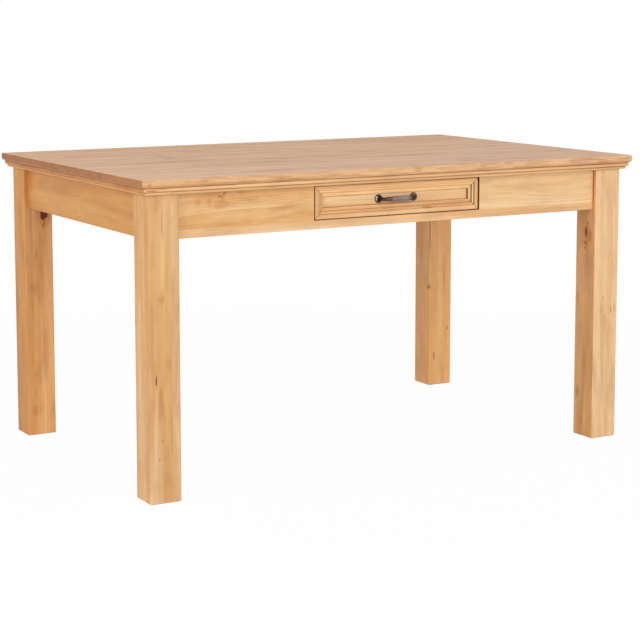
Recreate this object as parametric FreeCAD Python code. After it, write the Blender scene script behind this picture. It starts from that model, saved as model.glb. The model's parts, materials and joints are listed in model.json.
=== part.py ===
"""Pine dining table with one apron drawer, as separate joinery parts, in millimetres.

+X runs along the table, -Y is the drawer side and +Z is up. The origin is on the floor under the
middle of the top. Each part is written to parts/NAME.step.
"""

import FreeCAD
import Part

import math
import os

Vector = FreeCAD.Vector

# ---- table top --------------------------------------------------------------------------------
TOP_LENGTH = 1400.0  # over the fascia, along X
TOP_WIDTH = 900.0  # over the fascia, along Y
TABLE_HEIGHT = 750.0
TOP_OVERHANG = 22.5  # fascia tip beyond the legs' outer faces
SLAB_THICKNESS = 20.0
BOARD_COUNT = 8  # edge-glued boards across the width

# Fascia: the moulded edge of the slab, from its top arris down
NOSE_RADIUS = 3.0
FASCIA_ROUND_HEIGHT = 9.5
FASCIA_ROUND_DEPTH = 4.6
ROUND_MIDDLE_IN = 0.24  # middle point of the lower round: share of its depth behind the fascia
ROUND_MIDDLE_UP = 0.42  # and share of its height above the quirk
QUIRK = 1.3  # height and depth of the small groove under the fascia

# Doubling strips: a mitred frame glued under the slab's rim, with two beads on its outer edge
STRIP_THICKNESS = 16.0
STRIP_WIDTH = 90.0
UPPER_BEAD_HEIGHT = 9.0
UPPER_BEAD_SETBACK = 6.2  # crest of the upper bead behind the fascia tip
LOWER_BEAD_SETBACK = 11.2
BEAD_BULGE = 2.6

# ---- legs and aprons --------------------------------------------------------------------------
LEG_SIDE = 78.0
LEG_EDGE_RADIUS = 2.5
FOOT_CHAMFER = 1.5
LEG_SEAT = 30.0  # size of the 45 degree flat on the inner corner, where the bracket pulls
APRON_HEIGHT = 105.0
APRON_THICKNESS = 24.0
APRON_RECESS = 13.0  # apron face behind the leg face
APRON_EDGE_RADIUS = 1.5
FRONT_RAIL_HEIGHT = 20.0  # the part of the front apron under the drawer

# ---- corner hardware --------------------------------------------------------------------------
BRACKET_PLATE = 2.5
BRACKET_GAP = 6.0  # from the leg's seat to the bracket's web
BRACKET_MARGIN = 12.5  # apron left free above and below the bracket
FLANGE_LENGTH = 32.0
BOLT_RADIUS = 4.0
BOLT_SPACING = 45.0
BOLT_DEPTH = 45.0  # in the leg
BOLT_TAIL = 4.0  # beyond the nut
WASHER_RADIUS = 8.0
WASHER_THICKNESS = 1.6
NUT_ACROSS_FLATS = 13.0
NUT_SIDES = 6
NUT_THICKNESS = 6.5
SCREW_RADIUS = 1.75
SCREW_LENGTH = 14.0
SCREW_HEAD_RADIUS = 3.5
SCREW_HEAD_HEIGHT = 2.0
FIT = 0.05  # radial clearance of a pin, bolt or screw in its hole

# ---- dowels -----------------------------------------------------------------------------------
DOWEL_RADIUS = 4.0
DOWEL_IN_LEG = 24.0
DOWEL_IN_APRON = 26.0
UPPER_DOWEL_DROP = 28.0  # below the frame's top
CROSS_DOWEL_IN_APRON = 14.0
CROSS_DOWEL_IN_RAIL = 24.0
DOWEL_END_ROOM = 1.0  # glue room at each end of a dowel hole

# ---- top fixing angles ------------------------------------------------------------------------
ANGLE_LEG = 24.0
ANGLE_WIDTH = 20.0
ANGLE_PLATE = 2.0

# ---- drawer opening and guides ----------------------------------------------------------------
OPENING_WIDTH = 478.0
CROSS_RAIL_THICKNESS = 22.0
RUNNER_WIDTH = 16.0
RUNNER_HEIGHT = 16.0
RUN_CLEARANCE = 0.3
KICKER_CLEARANCE = 1.5
STOP_LENGTH = 30.0
STOP_HEIGHT = 20.0
GUIDE_SCREW_COUNT = 3
GUIDE_SCREW_LENGTH = 30.0
GUIDE_SCREW_END = 60.0  # first and last guide screw from the guide's ends

# ---- drawer -----------------------------------------------------------------------------------
DRAWER_SIDE_GAP = 3.0
DRAWER_TOP_GAP = 3.0
DRAWER_BOTTOM_GAP = 2.0
DRAWER_RECESS = 2.0  # drawer front behind the apron face
DRAWER_BOARD = 10.0
DRAWER_DEPTH = 350.0
DRAWER_SIDE = 12.0
DRAWER_BACK = 12.0
DRAWER_BOX_LIFT = 4.0  # lower edge of the sides above that of the front
DRAWER_BOX_DROP = 14.0  # upper edge of the sides below that of the front
BOTTOM_SHEET = 4.0
BOTTOM_LIFT = 8.0
GROOVE_DEPTH = 5.0
GROOVE_FIT = 0.2
DRAWER_DOWEL_RADIUS = 3.0
DRAWER_DOWEL_IN_BOARD = 6.0
DRAWER_DOWEL_IN_SIDE = 16.0
DRAWER_DOWEL_MARGIN = 12.0  # from the side's upper and lower edges

# Mitred moulding on the drawer front, from its outer edge inwards
FRAME_THICKNESS = 12.0
FRAME_BORDER = 11.0
FRAME_FIRST_STEP = 3.0
FRAME_BEAD_WIDTH = 6.5
FRAME_BEAD_RISE = 1.2  # crest of the bead above its outer foot
FRAME_BEAD_FALL = 1.0  # inner foot of the bead below its outer foot
FRAME_SECOND_STEP = 2.2
FRAME_BAND_WIDTH = 9.0
FRAME_BAND_RISE = 1.4
FRAME_LIP = 6.6  # height of the inner edge above the board
FRAME_ARRIS = 1.0

# ---- drawer pull ------------------------------------------------------------------------------
PULL_SPACING = 102.0
PULL_PROJECTION = 24.0  # centreline of the grip in front of the drawer's panel
PULL_POST_HALF_HEIGHT = 4.2
PULL_POST_HALF_DEPTH = 3.7
PULL_GRIP_HALF_HEIGHT = 6.8
PULL_GRIP_HALF_DEPTH = 2.8
PULL_CORNER_RADIUS = 20.0
PULL_SECTIONS = 21  # along the bow
ROSETTE_RADIUS = 10.5
ROSETTE_THICKNESS = 3.0
# Outline of a rosette from its back face out: shares of its radius and of its thickness
ROSETTE_OUTLINE = [(0, 0), (1.0, 0), (1.0, 0.36), (0.9, 0.68), (0.8, 0.5), (0.66, 1.0), (0, 1.0)]
PULL_SCREW_RADIUS = 2.0
PULL_SCREW_IN_POST = 5.0
PULL_SCREW_HEAD_RADIUS = 4.0
PULL_SCREW_HEAD_HEIGHT = 2.4

TOLERANCE = 1e-6  # for telling whether two directions or levels are the same

# ---- levels and places worked out from them ---------------------------------------------------
SLAB_BOTTOM = TABLE_HEIGHT - SLAB_THICKNESS
FRAME_TOP = SLAB_BOTTOM - STRIP_THICKNESS
APRON_BOTTOM = FRAME_TOP - APRON_HEIGHT
LEG_X = TOP_LENGTH / 2 - TOP_OVERHANG
LEG_Y = TOP_WIDTH / 2 - TOP_OVERHANG
APRON_X = LEG_X - APRON_RECESS
APRON_Y = LEG_Y - APRON_RECESS
INNER_X = APRON_X - APRON_THICKNESS
INNER_Y = APRON_Y - APRON_THICKNESS
STRIP_INNER_X = TOP_LENGTH / 2 - STRIP_WIDTH
STRIP_INNER_Y = TOP_WIDTH / 2 - STRIP_WIDTH
RAIL_TOP = APRON_BOTTOM + FRONT_RAIL_HEIGHT
APRON_DEPTH = APRON_RECESS + APRON_THICKNESS  # from the leg's face to the apron's inner face
WEB_REACH = 2 * LEG_SIDE - LEG_SEAT + BRACKET_GAP * math.sqrt(2)  # x + y on the web's leg side
FLANGE_START = WEB_REACH - APRON_DEPTH
FLANGE_END = FLANGE_START + FLANGE_LENGTH
BRACKET_MIDDLE = (APRON_BOTTOM + FRAME_TOP) / 2
BRACKET_HEIGHT = APRON_HEIGHT - 2 * BRACKET_MARGIN
BOLT_LEVELS = [BRACKET_MIDDLE - BOLT_SPACING / 2, BRACKET_MIDDLE + BOLT_SPACING / 2]
DOWEL_LEVELS = [APRON_BOTTOM + FRONT_RAIL_HEIGHT / 2, FRAME_TOP - UPPER_DOWEL_DROP]

OPENING_X = OPENING_WIDTH / 2
DRAWER_X = OPENING_X - DRAWER_SIDE_GAP
DRAWER_LOW = RAIL_TOP + DRAWER_BOTTOM_GAP
DRAWER_HIGH = FRAME_TOP - DRAWER_TOP_GAP
DRAWER_MIDDLE = (DRAWER_LOW + DRAWER_HIGH) / 2
DRAWER_FACE_Y = -APRON_Y + DRAWER_RECESS
PANEL_Y = DRAWER_FACE_Y + FRAME_THICKNESS
BOX_FRONT_Y = PANEL_Y + DRAWER_BOARD
BOX_BACK_Y = BOX_FRONT_Y + DRAWER_DEPTH
BOX_LOW = DRAWER_LOW + DRAWER_BOX_LIFT
BOX_HIGH = DRAWER_HIGH - DRAWER_BOX_DROP
SHEET_LOW = BOX_LOW + BOTTOM_LIFT
RUNNER_TOP = BOX_LOW - RUN_CLEARANCE
RUNNER_BOTTOM = RUNNER_TOP - RUNNER_HEIGHT
KICKER_BOTTOM = BOX_HIGH + KICKER_CLEARANCE
FRAME_WIDTH = FRAME_BORDER + FRAME_BEAD_WIDTH + FRAME_BAND_WIDTH

CORNERS = [
    ("front_left", -1, -1),
    ("front_right", 1, -1),
    ("back_left", -1, 1),
    ("back_right", 1, 1),
]
SIDES = [("left", -1), ("right", 1)]


# ---- helpers ----------------------------------------------------------------------------------
def box(x0, x1, y0, y1, z0, z1):
    """A block between two opposite corners, given in any order along each axis."""
    low = Vector(min(x0, x1), min(y0, y1), min(z0, z1))
    return Part.makeBox(abs(x1 - x0), abs(y1 - y0), abs(z1 - z0), low)


def rod(radius, start, end):
    """A round bar from start to end."""
    axis = Vector(end) - Vector(start)
    return Part.makeCylinder(radius, axis.Length, Vector(start), axis)


def outline(points):
    """A face from a closed outline. A point is (a, b, c); (through, end) makes an arc to end."""
    edges = []
    here = Vector(points[0])
    for step in points[1:] + [points[0]]:
        if isinstance(step[0], tuple):
            end = Vector(step[1])
            edges.append(Part.Arc(here, Vector(step[0]), end).toShape())
        else:
            end = Vector(step)
            edges.append(Part.LineSegment(here, end).toShape())
        here = end
    return Part.Face(Part.Wire(edges))


def edges_along(shape, axis, keep=lambda middle: True):
    """The straight edges of a shape that run along an axis and whose middle passes keep."""
    found = []
    for edge in shape.Edges:
        if edge.Curve.TypeId != "Part::GeomLine":
            continue
        ends = edge.Vertexes
        run = ends[-1].Point - ends[0].Point
        if run.cross(axis).Length < TOLERANCE and keep((ends[0].Point + ends[-1].Point) / 2):
            found.append(edge)
    return found


def moved(shape, offset, turn=None):
    """A copy of a shape, turned by a rotation and then moved by an offset."""
    copy = shape.copy()
    copy.Placement = FreeCAD.Placement(Vector(offset), turn or FreeCAD.Rotation())
    return copy


def at_corner(shape, x_sign, y_sign):
    """Places a shape made at a corner: x and y run inwards from the leg's outer corner."""
    placed = shape.copy()
    placed.translate(Vector(-LEG_X, -LEG_Y, 0))
    if x_sign > 0:
        placed = placed.mirror(Vector(), Vector(1, 0, 0))
    if y_sign > 0:
        placed = placed.mirror(Vector(), Vector(0, 1, 0))
    return placed


def without(shape, tools):
    """A shape with every tool cut out of it."""
    return shape.cut(tools) if tools else shape


def grown(rods):
    """Hole cutters for a list of (radius, start, end) rods, with the named fit."""
    return [rod(radius + FIT, start, end) for radius, start, end in rods]


def screw(head_seat, direction, length=SCREW_LENGTH):
    """A pan-head wood screw: its head's underside is at head_seat and its shank runs along direction."""
    seat = Vector(head_seat)
    way = Vector(direction)
    way.normalize()
    shank = rod(SCREW_RADIUS, seat, seat + way * length)
    head = rod(SCREW_HEAD_RADIUS, seat - way * SCREW_HEAD_HEIGHT, seat)
    return head.fuse(shank).removeSplitter()


def screw_hole(head_seat, direction, length=SCREW_LENGTH):
    """The hole that such a screw's shank needs, with room past its tip."""
    way = Vector(direction)
    way.normalize()
    return rod(SCREW_RADIUS + FIT, Vector(head_seat), Vector(head_seat) + way * (length + FIT))


def mitred_bar(section, length, depth):
    """A moulding along X with both ends mitred at 45 degrees: y runs from its long edge inwards."""
    bar = section.extrude(Vector(length, 0, 0))
    bar.translate(Vector(-length / 2, 0, 0))
    ends = [(-length / 2, 0, 0), (length / 2, 0, 0)]
    ends += [(length / 2 - depth, depth, 0), (-length / 2 + depth, depth, 0)]
    reach = TABLE_HEIGHT
    keep = outline([(x, y, -reach) for x, y, _ in ends]).extrude(Vector(0, 0, 2 * reach))
    return bar.common(keep)


def export(name, solids):
    """Writes one node: a single solid, or a list of separate identical ones."""
    shapes = solids if isinstance(solids, list) else [solids]
    parts = [solid for shape in shapes for solid in shape.Solids]
    for solid in parts:
        if not solid.isValid() or solid.Volume <= 0:
            raise ValueError(f"{name} has a solid that is not valid")
    whole = parts[0] if len(parts) == 1 else Part.makeCompound(parts)
    whole.exportStep(os.path.join("parts", name + ".step"))


# ---- table top --------------------------------------------------------------------------------
def slab_section(half, across):
    """The slab's outline with a fascia on both edges: across maps (distance, z) to a point."""
    low = SLAB_BOTTOM
    high = TABLE_HEIGHT
    round_top = low + FASCIA_ROUND_HEIGHT
    heel = half - FASCIA_ROUND_DEPTH
    nose_mid = NOSE_RADIUS * (1 - math.sqrt(0.5))
    round_mid = (
        half - FASCIA_ROUND_DEPTH * ROUND_MIDDLE_IN,
        low + QUIRK + (FASCIA_ROUND_HEIGHT - QUIRK) * ROUND_MIDDLE_UP,
    )

    def edge(sign):
        """One moulded edge from the slab's underside up to its top, as (distance, z) steps."""
        return [
            (sign * (heel - QUIRK), low),
            (sign * (heel - QUIRK), low + QUIRK),
            (sign * heel, low + QUIRK),
            ((sign * round_mid[0], round_mid[1]), (sign * half, round_top)),
            (sign * half, high - NOSE_RADIUS),
            ((sign * (half - nose_mid), high - nose_mid), (sign * (half - NOSE_RADIUS), high)),
        ]

    right = edge(1)
    left = edge(-1)
    points = [across(*p) if not isinstance(p[0], tuple) else (across(*p[0]), across(*p[1])) for p in right]
    # The other edge is walked from its top down, so each arc ends where it started.
    points.append(across(-(half - NOSE_RADIUS), high))
    points.append((across(*left[5][0]), across(*left[4])))
    points.append(across(*left[3][1]))
    points.append((across(*left[3][0]), across(*left[2])))
    points.append(across(*left[1]))
    points.append(across(*left[0]))
    return outline(points)


def top_boards():
    """The slab: edge-glued boards along X, with the fascia cut round all four edges."""
    long_way = slab_section(TOP_WIDTH / 2, lambda d, z: (-TOP_LENGTH / 2, d, z))
    cross_way = slab_section(TOP_LENGTH / 2, lambda d, z: (d, -TOP_WIDTH / 2, z))
    slab = long_way.extrude(Vector(TOP_LENGTH, 0, 0)).common(cross_way.extrude(Vector(0, TOP_WIDTH, 0)))
    board_width = TOP_WIDTH / BOARD_COUNT
    boards = []
    for index in range(BOARD_COUNT):
        start = -TOP_WIDTH / 2 + index * board_width
        blank = box(-TOP_LENGTH / 2, TOP_LENGTH / 2, start, start + board_width, SLAB_BOTTOM, TABLE_HEIGHT)
        boards.append(slab.common(blank))
    return boards


def strip_section():
    """Section of a doubling strip: y runs inwards from the fascia tip, z up from its underside."""
    meet = STRIP_THICKNESS - UPPER_BEAD_HEIGHT
    lower = LOWER_BEAD_SETBACK
    upper = UPPER_BEAD_SETBACK
    return outline(
        [
            (0, STRIP_WIDTH, 0),
            (0, STRIP_WIDTH, STRIP_THICKNESS),
            (0, upper + BEAD_BULGE, STRIP_THICKNESS),
            ((0, upper, meet + UPPER_BEAD_HEIGHT / 2), (0, upper + BEAD_BULGE, meet)),
            (0, lower + BEAD_BULGE, meet),
            ((0, lower, meet / 2), (0, lower + BEAD_BULGE, 0)),
        ]
    )


def edge_strips():
    """The four doubling strips, mitred at the corners, by name."""
    section = strip_section()
    long_bar = mitred_bar(section, TOP_LENGTH, STRIP_WIDTH)
    short_bar = mitred_bar(section, TOP_WIDTH, STRIP_WIDTH)
    up = Vector(0, 0, 1)
    return {
        "front": moved(long_bar, (0, -TOP_WIDTH / 2, FRAME_TOP)),
        "back": moved(long_bar, (0, TOP_WIDTH / 2, FRAME_TOP), FreeCAD.Rotation(up, 180)),
        "left": moved(short_bar, (-TOP_LENGTH / 2, 0, FRAME_TOP), FreeCAD.Rotation(up, -90)),
        "right": moved(short_bar, (TOP_LENGTH / 2, 0, FRAME_TOP), FreeCAD.Rotation(up, 90)),
    }


# ---- a corner, made with x and y running inwards from the leg's outer corner ------------------
def corner_dowels():
    """(radius, start, end) of the dowels that join both aprons to the leg."""
    across = APRON_RECESS + APRON_THICKNESS / 2
    start = LEG_SIDE - DOWEL_IN_LEG
    end = LEG_SIDE + DOWEL_IN_APRON
    found = []
    for level in DOWEL_LEVELS:
        found.append((DOWEL_RADIUS, (start, across, level), (end, across, level)))
        found.append((DOWEL_RADIUS, (across, start, level), (across, end, level)))
    return found


def dowel_holes(dowels):
    """Holes for dowels, longer than them at both ends by the glue room."""
    cutters = []
    for radius, start, end in dowels:
        way = Vector(end) - Vector(start)
        way.normalize()
        room = way * DOWEL_END_ROOM
        cutters.append(rod(radius + FIT, Vector(start) - room, Vector(end) + room))
    return cutters


def diagonal(distance, level):
    """A point on the corner's diagonal: distance is measured inwards from the leg's seat."""
    seat = LEG_SIDE - LEG_SEAT / 2
    reach = seat + distance / math.sqrt(2)
    return Vector(reach, reach, level)


def corner_bolts():
    """(radius, start, end) of the hanger bolts."""
    tail = BRACKET_GAP + BRACKET_PLATE + WASHER_THICKNESS + NUT_THICKNESS + BOLT_TAIL
    return [(BOLT_RADIUS, diagonal(-BOLT_DEPTH, level), diagonal(tail, level)) for level in BOLT_LEVELS]


def leg_solid():
    """A square leg with eased edges, a seat for the bracket, and bolt and dowel holes."""
    post = box(0, LEG_SIDE, 0, LEG_SIDE, 0, FRAME_TOP)
    post = post.makeFillet(LEG_EDGE_RADIUS, edges_along(post, Vector(0, 0, 1)))
    foot = [edge for edge in post.Edges if edge.BoundBox.ZMax < TOLERANCE]
    post = post.makeChamfer(FOOT_CHAMFER, foot)
    seat = outline(
        [
            (LEG_SIDE - LEG_SEAT, LEG_SIDE, APRON_BOTTOM),
            (LEG_SIDE, LEG_SIDE - LEG_SEAT, APRON_BOTTOM),
            (LEG_SIDE, LEG_SIDE, APRON_BOTTOM),
        ]
    ).extrude(Vector(0, 0, APRON_HEIGHT))
    bolts = []
    for radius, start, end in corner_bolts():
        way = Vector(end) - Vector(start)
        way.normalize()
        bolts.append(rod(radius + FIT, Vector(start) - way * DOWEL_END_ROOM, end))
    return without(post, [seat] + bolts + dowel_holes(corner_dowels()))


def flange_screws():
    """(head seat, direction) of the screws through both flanges of a bracket."""
    along = (FLANGE_START + FLANGE_END) / 2
    face = APRON_DEPTH + BRACKET_PLATE
    found = []
    for level in BOLT_LEVELS:
        found.append(((along, face, level), (0, -1, 0)))
        found.append(((face, along, level), (-1, 0, 0)))
    return found


def bracket_solid():
    """A bent steel corner bracket: a web across the corner and a flange on each apron."""
    near = APRON_DEPTH
    far = APRON_DEPTH + BRACKET_PLATE
    inside = FLANGE_START + BRACKET_PLATE * (math.sqrt(2) - 1)
    low = BRACKET_MIDDLE - BRACKET_HEIGHT / 2
    plate = outline(
        [
            (FLANGE_END, near, low),
            (FLANGE_START, near, low),
            (near, FLANGE_START, low),
            (near, FLANGE_END, low),
            (far, FLANGE_END, low),
            (far, inside, low),
            (inside, far, low),
            (FLANGE_END, far, low),
        ]
    ).extrude(Vector(0, 0, BRACKET_HEIGHT))
    holes = [screw_hole(seat, way) for seat, way in flange_screws()]
    return without(plate, grown(corner_bolts()) + holes)


def washer_solids():
    """Washers between each nut and the bracket."""
    found = []
    for level in BOLT_LEVELS:
        near = diagonal(BRACKET_GAP + BRACKET_PLATE, level)
        far = diagonal(BRACKET_GAP + BRACKET_PLATE + WASHER_THICKNESS, level)
        found.append(rod(WASHER_RADIUS, near, far).cut(rod(BOLT_RADIUS + FIT, near, far)))
    return found


def nut_solids():
    """Hexagon nuts on the hanger bolts, with two flats upright."""
    found = []
    corner = NUT_ACROSS_FLATS / math.sqrt(3)
    start = BRACKET_GAP + BRACKET_PLATE + WASHER_THICKNESS
    sideways = Vector(1, -1, 0)
    sideways.normalize()
    for level in BOLT_LEVELS:
        middle = diagonal(start, level)
        way = diagonal(start + NUT_THICKNESS, level) - middle
        points = []
        for step in range(NUT_SIDES):
            angle = math.pi / 2 + 2 * math.pi * step / NUT_SIDES
            offset = sideways * (corner * math.cos(angle)) + Vector(0, 0, corner * math.sin(angle))
            points.append(tuple(middle + offset))
        nut = outline(points).extrude(way)
        found.append(nut.cut(rod(BOLT_RADIUS + FIT, middle, middle + way)))
    return found


# ---- rails across the frame, top fixings ------------------------------------------------------
def cross_dowels(x_sign):
    """(radius, start, end) of the dowels at both ends of a cross rail."""
    x = x_sign * (OPENING_X + CROSS_RAIL_THICKNESS / 2)
    found = []
    for y_sign in (-1, 1):
        for level in (DOWEL_LEVELS[1], (RAIL_TOP + RUNNER_TOP) / 2 + 2 * DOWEL_RADIUS):
            start = (x, y_sign * (INNER_Y + CROSS_DOWEL_IN_APRON), level)
            end = (x, y_sign * (INNER_Y - CROSS_DOWEL_IN_RAIL), level)
            found.append((DOWEL_RADIUS, start, end))
    return found


def guide_screws(x_sign):
    """(head seat, direction) of the screws that hold a side's runner and kicker to its cross rail."""
    span = 2 * (INNER_Y - GUIDE_SCREW_END)
    x = x_sign * (OPENING_X - RUNNER_WIDTH + SCREW_HEAD_HEIGHT)
    levels = ((RUNNER_BOTTOM + RUNNER_TOP) / 2, (KICKER_BOTTOM + FRAME_TOP) / 2)
    found = []
    for index in range(GUIDE_SCREW_COUNT):
        y = -span / 2 + span * index / (GUIDE_SCREW_COUNT - 1)
        found += [((x, y, level), (x_sign, 0, 0)) for level in levels]
    return found


def guide_cutters(x_sign):
    """Screw holes with head recesses, for a side's runner, kicker and cross rail."""
    cutters = []
    for seat, way in guide_screws(x_sign):
        head = Vector(seat) - Vector(way) * SCREW_HEAD_HEIGHT
        cutters.append(screw_hole(seat, way, GUIDE_SCREW_LENGTH))
        cutters.append(rod(SCREW_HEAD_RADIUS + FIT, head, Vector(seat)))
    return cutters


def cross_rail(x_sign):
    """A rail from the front apron to the back apron that carries the drawer's guides."""
    bar = box(
        x_sign * OPENING_X,
        x_sign * (OPENING_X + CROSS_RAIL_THICKNESS),
        -INNER_Y,
        INNER_Y,
        RUNNER_BOTTOM,
        FRAME_TOP,
    )
    return without(bar, dowel_holes(cross_dowels(x_sign)) + guide_cutters(x_sign))


def packer(x_sign):
    """The packing between a cross rail and the slab, inside the doubling strips."""
    outer = x_sign * (OPENING_X + CROSS_RAIL_THICKNESS)
    return box(x_sign * OPENING_X, outer, -STRIP_INNER_Y, STRIP_INNER_Y, FRAME_TOP, SLAB_BOTTOM)


def guide_bar(x_sign, low, high):
    """A runner or kicker: a bar along the cross rail's inner face."""
    bar = box(x_sign * (OPENING_X - RUNNER_WIDTH), x_sign * OPENING_X, -INNER_Y, INNER_Y, low, high)
    return without(bar, guide_cutters(x_sign))


def drawer_stop(x_sign):
    """A block on the runner that the drawer's side meets when the drawer is shut."""
    start = BOX_BACK_Y + RUN_CLEARANCE
    top = RUNNER_TOP + STOP_HEIGHT
    inner = x_sign * (OPENING_X - RUNNER_WIDTH)
    return box(inner, x_sign * OPENING_X, start, start + STOP_LENGTH, RUNNER_TOP, top)


def angle_places():
    """(x, y, way) of each top fixing angle's heel; way points from the apron into the frame."""
    along_x = (OPENING_X + CROSS_RAIL_THICKNESS + LEG_X - FLANGE_END) / 2
    along_y = (LEG_Y - FLANGE_END) / 2
    places = []
    for sign in (-1, 1):
        for side in (-1, 1):
            places.append((sign * along_x, side * INNER_Y, (0, -side, 0)))
            places.append((side * INNER_X, sign * along_y, (-side, 0, 0)))
    return places


def angle_screws():
    """(head seat, direction) of the screws in the fixing angles: one in the apron, one in the strip."""
    found = []
    middle = (ANGLE_PLATE + ANGLE_LEG) / 2
    for x, y, way in angle_places():
        heel = Vector(x, y, FRAME_TOP)
        inwards = Vector(way)
        found.append((heel + inwards * ANGLE_PLATE - Vector(0, 0, middle), inwards * -1))
        found.append((heel + inwards * middle - Vector(0, 0, ANGLE_PLATE), Vector(0, 0, 1)))
    return found


def screw_cutters(places, length):
    """Shank holes for a list of (head seat, direction) screws."""
    return [screw_hole(seat, way, length) for seat, way in places]


def fixing_angles():
    """Steel angles that hold the top to the aprons."""
    section = outline(
        [
            (-ANGLE_WIDTH / 2, 0, 0),
            (-ANGLE_WIDTH / 2, 0, -ANGLE_LEG),
            (-ANGLE_WIDTH / 2, ANGLE_PLATE, -ANGLE_LEG),
            (-ANGLE_WIDTH / 2, ANGLE_PLATE, -ANGLE_PLATE),
            (-ANGLE_WIDTH / 2, ANGLE_LEG, -ANGLE_PLATE),
            (-ANGLE_WIDTH / 2, ANGLE_LEG, 0),
        ]
    )
    angle = section.extrude(Vector(ANGLE_WIDTH, 0, 0))
    holes = screw_cutters(angle_screws(), ANGLE_PLATE)
    found = []
    for x, y, way in angle_places():
        turn = FreeCAD.Rotation(Vector(0, 1, 0), Vector(way))
        if way[1] < 0:
            turn = FreeCAD.Rotation(Vector(0, 0, 1), 180)
        found.append(moved(angle, (x, y, FRAME_TOP), turn).cut(holes))
    return found


# ---- aprons -----------------------------------------------------------------------------------
def frame_cutters():
    """Every hole that the aprons and strips share with dowels and screws."""
    cutters = []
    for _, x_sign, y_sign in CORNERS:
        local = dowel_holes(corner_dowels())
        local += [screw_hole(seat, way) for seat, way in flange_screws()]
        cutters += [at_corner(tool, x_sign, y_sign) for tool in local]
    for _, x_sign in SIDES:
        cutters += dowel_holes(cross_dowels(x_sign))
    return cutters + screw_cutters(angle_screws(), SCREW_LENGTH)


def apron_blank(x0, x1, y0, y1, z0, z1, along, rounded):
    """An apron board whose bottom edges along an axis are eased."""
    blank = box(x0, x1, y0, y1, z0, z1)
    if not rounded:
        return blank
    edges = edges_along(blank, along, lambda middle: middle.z < z0 + TOLERANCE)
    return blank.makeFillet(APRON_EDGE_RADIUS, edges)


def aprons():
    """All apron boards by node name, with their dowel and screw holes."""
    end_x = LEG_X - LEG_SIDE
    end_y = LEG_Y - LEG_SIDE
    x_way = Vector(1, 0, 0)
    y_way = Vector(0, 1, 0)
    low = APRON_BOTTOM
    high = FRAME_TOP
    blanks = {
        "back_apron": apron_blank(-end_x, end_x, INNER_Y, APRON_Y, low, high, x_way, True),
        "front_rail": apron_blank(-end_x, end_x, -APRON_Y, -INNER_Y, low, RAIL_TOP, x_way, True),
    }
    for name, sign in SIDES:
        blanks[name + "_apron"] = apron_blank(
            sign * INNER_X, sign * APRON_X, -end_y, end_y, low, high, y_way, True
        )
        blanks["front_apron_" + name] = apron_blank(
            sign * OPENING_X, sign * end_x, -APRON_Y, -INNER_Y, RAIL_TOP, high, x_way, False
        )
    cutters = frame_cutters()
    return {name: without(blank, cutters) for name, blank in blanks.items()}


# ---- drawer -----------------------------------------------------------------------------------
def drawer_dowels():
    """(radius, start, end) of the dowels that join the sides to the front board and the back."""
    found = []
    levels = (SHEET_LOW + BOTTOM_SHEET + DRAWER_DOWEL_MARGIN, BOX_HIGH - DRAWER_DOWEL_MARGIN)
    for sign in (-1, 1):
        x = sign * (DRAWER_X - DRAWER_SIDE / 2)
        inner = sign * (DRAWER_X - DRAWER_SIDE)
        y = BOX_BACK_Y - DRAWER_BACK / 2
        for level in levels:
            start = (x, BOX_FRONT_Y - DRAWER_DOWEL_IN_BOARD, level)
            found.append((DRAWER_DOWEL_RADIUS, start, (x, BOX_FRONT_Y + DRAWER_DOWEL_IN_SIDE, level)))
            start = (inner + sign * DRAWER_DOWEL_IN_BOARD, y, level)
            found.append((DRAWER_DOWEL_RADIUS, start, (inner - sign * DRAWER_DOWEL_IN_SIDE, y, level)))
    return found


def pull_posts():
    """The x of each post of the pull."""
    return [-PULL_SPACING / 2, PULL_SPACING / 2]


def pull_screw_rods():
    """(radius, start, end) of the shanks of the pull's screws, from inside the drawer outwards."""
    end = PANEL_Y - ROSETTE_THICKNESS - PULL_SCREW_IN_POST
    return [
        (PULL_SCREW_RADIUS, (x, BOX_FRONT_Y, DRAWER_MIDDLE), (x, end, DRAWER_MIDDLE)) for x in pull_posts()
    ]


def bottom_groove():
    """The space of the drawer's bottom sheet with its groove's fit, for cutting the grooves."""
    reach = DRAWER_X - DRAWER_SIDE + GROOVE_DEPTH
    front = BOX_FRONT_Y - GROOVE_DEPTH
    low = SHEET_LOW - GROOVE_FIT
    high = SHEET_LOW + BOTTOM_SHEET + GROOVE_FIT
    return box(-reach, reach, front, BOX_BACK_Y, low, high)


def drawer_box():
    """The drawer's front board, sides, back and bottom sheet by node name."""
    holes = dowel_holes(drawer_dowels())
    groove = bottom_groove()
    board = box(-DRAWER_X, DRAWER_X, PANEL_Y, BOX_FRONT_Y, DRAWER_LOW, DRAWER_HIGH)
    parts = {"drawer_front_board": without(board, holes + [groove] + grown(pull_screw_rods()))}
    inner = DRAWER_X - DRAWER_SIDE
    for name, sign in SIDES:
        side = box(sign * inner, sign * DRAWER_X, BOX_FRONT_Y, BOX_BACK_Y, BOX_LOW, BOX_HIGH)
        parts["drawer_side_" + name] = without(side, holes + [groove])
    sheet_top = SHEET_LOW + BOTTOM_SHEET
    back = box(-inner, inner, BOX_BACK_Y - DRAWER_BACK, BOX_BACK_Y, sheet_top, BOX_HIGH)
    parts["drawer_back"] = without(back, holes)
    reach = inner + GROOVE_DEPTH - GROOVE_FIT
    front = BOX_FRONT_Y - GROOVE_DEPTH + GROOVE_FIT
    parts["drawer_bottom"] = box(-reach, reach, front, BOX_BACK_Y, SHEET_LOW, sheet_top)
    return parts


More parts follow.
